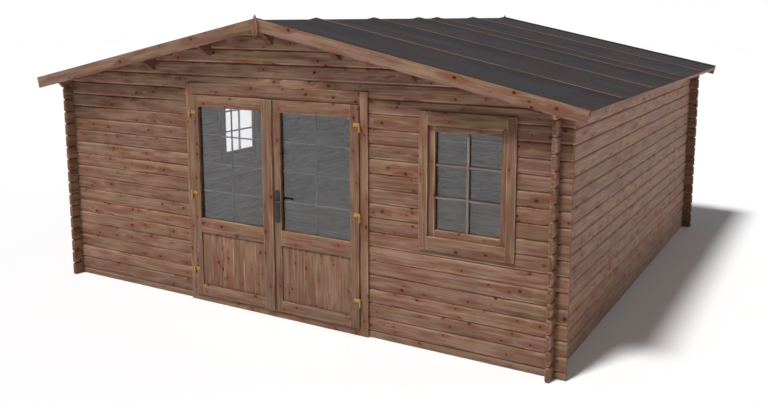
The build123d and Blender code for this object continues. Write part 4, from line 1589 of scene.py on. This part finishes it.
@dataclass
class Handle:
    """Lever handles on long plates, one on each face of the right leaf.

    A grip station holds a share of the grip's length, its drop and its taper.
    """

    finishes: Finishes
    rim_ease: float = 0.0018
    rim_segments: int = 3
    end_round_share: float = 0.49
    end_segments: int = 10
    collar_radius: float = 0.013
    collar_height: float = 0.006
    collar_play: float = 0.0006
    neck_radius: float = 0.0085
    elbow_radius: float = 0.018
    elbow_steps: int = 5
    grip_width: float = 0.0065
    grip_height: float = 0.009
    grip_stations: tuple[Triple, ...] = ((0.35, 0.0, 1.0), (0.7, -0.002, 1.0), (0.93, -0.005, 1.0),
                                         (1.0, -0.006, 0.7))
    lock_radius: float = 0.0085
    lock_drop: float = 0.062
    lock_proud: float = 0.003
    lock_ease: float = 0.0006
    slit_half_width: float = 0.0011
    slit_half_height: float = 0.0045
    slit_share: float = 0.3

    def build(self) -> None:
        """Build the plates and the lever pair."""
        plates = bmesh.new()
        levers = bmesh.new()
        pivot = joint_place("handle_turn")
        low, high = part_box("door_handle_plates")
        lever_low, lever_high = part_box("door_lever")
        leaf_low, leaf_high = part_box("right_door_frame")
        outside = (-Y_AXIS, leaf_low.y, low.y, lever_low.y)
        inside = (Y_AXIS, leaf_high.y, high.y, lever_high.y)
        for out, face, outer, reach in (outside, inside):
            plate_low = Vector((low.x, min(face, outer), low.z))
            plate_high = Vector((high.x, max(face, outer), high.z))
            foot = Vector((pivot.x, outer, pivot.z))
            self.build_plate(plates, plate_low, plate_high, foot, out)
            self.build_lever(levers, foot, out, reach, lever_high.x)
        dressing = self.finishes.dressing(Slot.HANDLE, Look.ENAMEL, Body.RIGHT_DOOR)
        publish(plates, "door_handle_backplates", dressing, "door_handle_plates")
        dressing = self.finishes.dressing(Slot.HANDLE, Look.ENAMEL, Body.HANDLE)
        publish(levers, "door_lever_pair", dressing, "door_lever")

    def build_plate(self, bm: BMesh, low: Vector, high: Vector, foot: Vector, out: Vector) -> None:
        """Add one long plate with round ends and a lock cylinder.

        Args:
            bm: Mesh to add to.
            low: Lowest corner of the plate.
            high: Its highest corner.
            foot: Point on its face where the lever turns.
            out: Direction that the plate faces.
        """
        depth = depth_edges(block(bm, low, high))
        bevel(bm, depth, (high.x - low.x) * self.end_round_share, self.end_segments)
        faces = faces_of(boards_of(bm)[-1])
        front = max(faces, key=lambda face: face.calc_center_median().dot(out) + face.calc_area())
        bevel(bm, front.edges, self.rim_ease, self.rim_segments)
        lock = foot - Z_AXIS * self.lock_drop
        drum(bm, lock, out, self.lock_radius, self.lock_proud, self.lock_ease)
        slit = Vector((self.slit_half_width, self.lock_proud * self.slit_share, self.slit_half_height))
        middle = lock + out * self.lock_proud
        block(bm, middle - slit, middle + slit)

    def build_lever(self, bm: BMesh, foot: Vector, out: Vector, reach: float, tip: float) -> None:
        """Add one lever: a neck out of the plate, a round elbow and a grip that flattens to its end.

        Args:
            bm: Mesh to add to.
            foot: Point on the plate where the lever turns.
            out: Direction that the plate faces.
            reach: How far from front to back the grip stands out.
            tip: How far to the right the grip reaches.
        """
        drum(bm, foot + out * self.collar_play, out, self.collar_radius, self.collar_height, self.rim_ease)
        neck = (self.neck_radius, self.neck_radius)
        stations = [(foot + out * self.collar_height, out, *neck)]
        grip_y = reach - out.y * self.grip_width
        bend = self.elbow_radius
        start = Vector((foot.x, grip_y - out.y * bend, foot.z))
        for step in range(self.elbow_steps + 1):
            angle = RIGHT_ANGLE * step / self.elbow_steps
            way = out * math.cos(angle) + X_AXIS * math.sin(angle)
            centre = start + out * bend * math.sin(angle) + X_AXIS * bend * (1.0 - math.cos(angle))
            stations.append((centre, way, *neck))
        length = tip - (foot.x + bend)
        for share, drop, taper in self.grip_stations:
            centre = Vector((foot.x + bend + length * share, grip_y, foot.z + drop))
            stations.append((centre, X_AXIS, self.grip_width * taper, self.grip_height * taper))
        sections = []
        for centre, way, wide, tall in stations:
            side = way.cross(Z_AXIS).normalized()
            turn = Matrix((side, Z_AXIS, way)).transposed().to_4x4()
            sections.append(Matrix.Translation(centre) @ turn @ Matrix.Diagonal((wide, tall, 1.0, 1.0)))
        sweep(bm, sections)


@dataclass
class Floor:
    """Floor boards on their bearers."""

    finishes: Finishes
    boarding: Boarding = Boarding(width=0.112, ease=0.0016)
    edge_ease: float = 0.002

    def build(self) -> None:
        """Saw the floor into boards and dress the bearers."""
        pine = self.finishes.dressing(Slot.FLOOR, Look.FLOOR)
        self.boarding.lay("floor_boards", "floor_planks", pine)
        dress_node("floor_bearers", pine, self.edge_ease)


@dataclass
class Studio:
    """Pale floor, soft light and the camera at the photograph's angle."""

    floor_reach: float = 60.0
    floor_colour: Colour = (0.965, 0.96, 0.96, 1.0)
    floor_lift: float = 0.01
    sky_light: float = 0.14
    sky_colour: Colour = (0.96, 0.99, 1.05, 1.0)
    backdrop_light: float = 1.0
    backdrop_depth: float = 0.5
    sun_way: Triple = (0.33, 1.0, -1.91)
    sun_power: float = 3.16
    sun_angle: float = math.radians(10.0)
    fill_way: Triple = (-1.0, -0.7, -0.12)
    fill_power: float = 0.75
    fill_angle: float = math.radians(15.0)
    room_power: float = 3.0
    room_height: float = 1.88
    room_lamp_size: float = 3.0
    camera_place: Triple = (4.0711, -7.6297, 2.5023)
    camera_pitch: float = math.radians(-8.753)
    camera_turn: float = math.radians(30.048)
    camera_sensor: float = 36.0
    camera_lens: float = 38.224
    camera_shift: float = -0.08

    def build(self) -> None:
        """Set up the stage."""
        bpy.context.scene.view_settings.view_transform = "Standard"
        self.build_floor()
        self.build_world()
        self.build_sun("key_sun", self.sun_way, self.sun_power, self.sun_angle)
        self.build_sun("fill_sun", self.fill_way, self.fill_power, self.fill_angle)
        self.build_room_lamp()
        self.build_camera()

    def build_floor(self) -> None:
        """Lay a wide pale floor that keeps the shadow and shows white where it is lit."""
        bm = bmesh.new()
        bmesh.ops.create_grid(bm, x_segments=1, y_segments=1, size=self.floor_reach)
        mesh = bpy.data.meshes.new("studio_floor")
        bm.to_mesh(mesh)
        bm.free()
        floor = link_object("studio_floor", mesh)
        material = bpy.data.materials.new("studio_floor")
        material.use_nodes = True
        graph = Graph(material.node_tree)
        seen = graph.add("LightPath").outputs["Is Camera Ray"]
        matt = graph.add("BsdfDiffuse", {"Color": self.floor_colour})
        glow = graph.add("Emission", {"Strength": graph.times(seen, self.floor_lift)})
        both = graph.add("AddShader", {0: matt.outputs[0], 1: glow.outputs[0]})
        graph.add("OutputMaterial", {"Surface": both.outputs[0]})
        mesh.materials.append(material)

    def build_world(self) -> None:
        """Make a white surround that lights the cabin softly."""
        world = bpy.data.worlds.new("studio")
        bpy.context.scene.world = world
        world.use_nodes = True
        graph = Graph(world.node_tree)
        path = graph.add("LightPath").outputs
        seen = graph.math("MAXIMUM", path["Is Camera Ray"], path["Is Glossy Ray"])
        seen = graph.math("MAXIMUM", seen, path["Is Transmission Ray"])
        seen = graph.times(seen, graph.math("LESS_THAN", path["Diffuse Depth"], self.backdrop_depth))
        soft = graph.add("Background", {"Color": self.sky_colour, "Strength": self.sky_light})
        white = graph.add("Background", {"Color": WHITE, "Strength": self.backdrop_light})
        both = graph.add("MixShader", {0: seen, 1: soft.outputs[0], 2: white.outputs[0]})
        graph.add("OutputWorld", {"Surface": both.outputs[0]})

    def build_sun(self, name: str, way: Triple, power: float, angle: float) -> None:
        """Add a soft distant lamp.

        Args:
            name: Name of the lamp.
            way: Direction that it shines along.
            power: Its strength.
            angle: How wide it looks, which softens its shadows.
        """
        lamp = bpy.data.lights.new(name, "SUN")
        lamp.energy = power
        lamp.angle = angle
        sun = link_object(name, lamp)
        sun.rotation_mode = "QUATERNION"
        sun.rotation_quaternion = Vector(way).to_track_quat("-Z", "Y")

    def build_room_lamp(self) -> None:
        """Add a weak wide lamp under the roof, itself unseen, for the room behind an open door."""
        lamp = bpy.data.lights.new("room_lamp", "AREA")
        lamp.energy = self.room_power
        lamp.size = self.room_lamp_size
        room = link_object("room_lamp", lamp)
        room.location = Z_AXIS * self.room_height
        room.visible_camera = False
        room.visible_glossy = False
        room.visible_transmission = False

    def build_camera(self) -> None:
        """Place the camera."""
        lens = bpy.data.cameras.new("photo_camera")
        lens.sensor_width = self.camera_sensor
        lens.lens = self.camera_lens
        lens.shift_y = self.camera_shift
        camera = link_object("photo_camera", lens)
        camera.location = self.camera_place
        camera.rotation_euler = (RIGHT_ANGLE + self.camera_pitch, 0.0, self.camera_turn)
        bpy.context.scene.camera = camera


def main() -> None:
    """Build the cabin and its stage."""
    logging.basicConfig(level=logging.INFO, format="%(name)s %(message)s")
    finishes = Finishes(Effects())
    glazing = Glazing(finishes)
    leaves = [
        DoorLeaf(finishes, glazing, "left", Body.LEFT_DOOR, ("panel", "cover_strip")),
        DoorLeaf(finishes, glazing, "right", Body.RIGHT_DOOR, ("panel",)),
    ]
    assemblies = [LogWalls(finishes), Roof(finishes), DoorFrame(finishes), *leaves, Hinges(finishes),
                  Handle(finishes), Windows(finishes, glazing), Floor(finishes), Studio()]
    for assembly in assemblies:
        assembly.build()
        LOG.info("%s built", type(assembly).__name__)


if __name__ == "__main__":
    main()
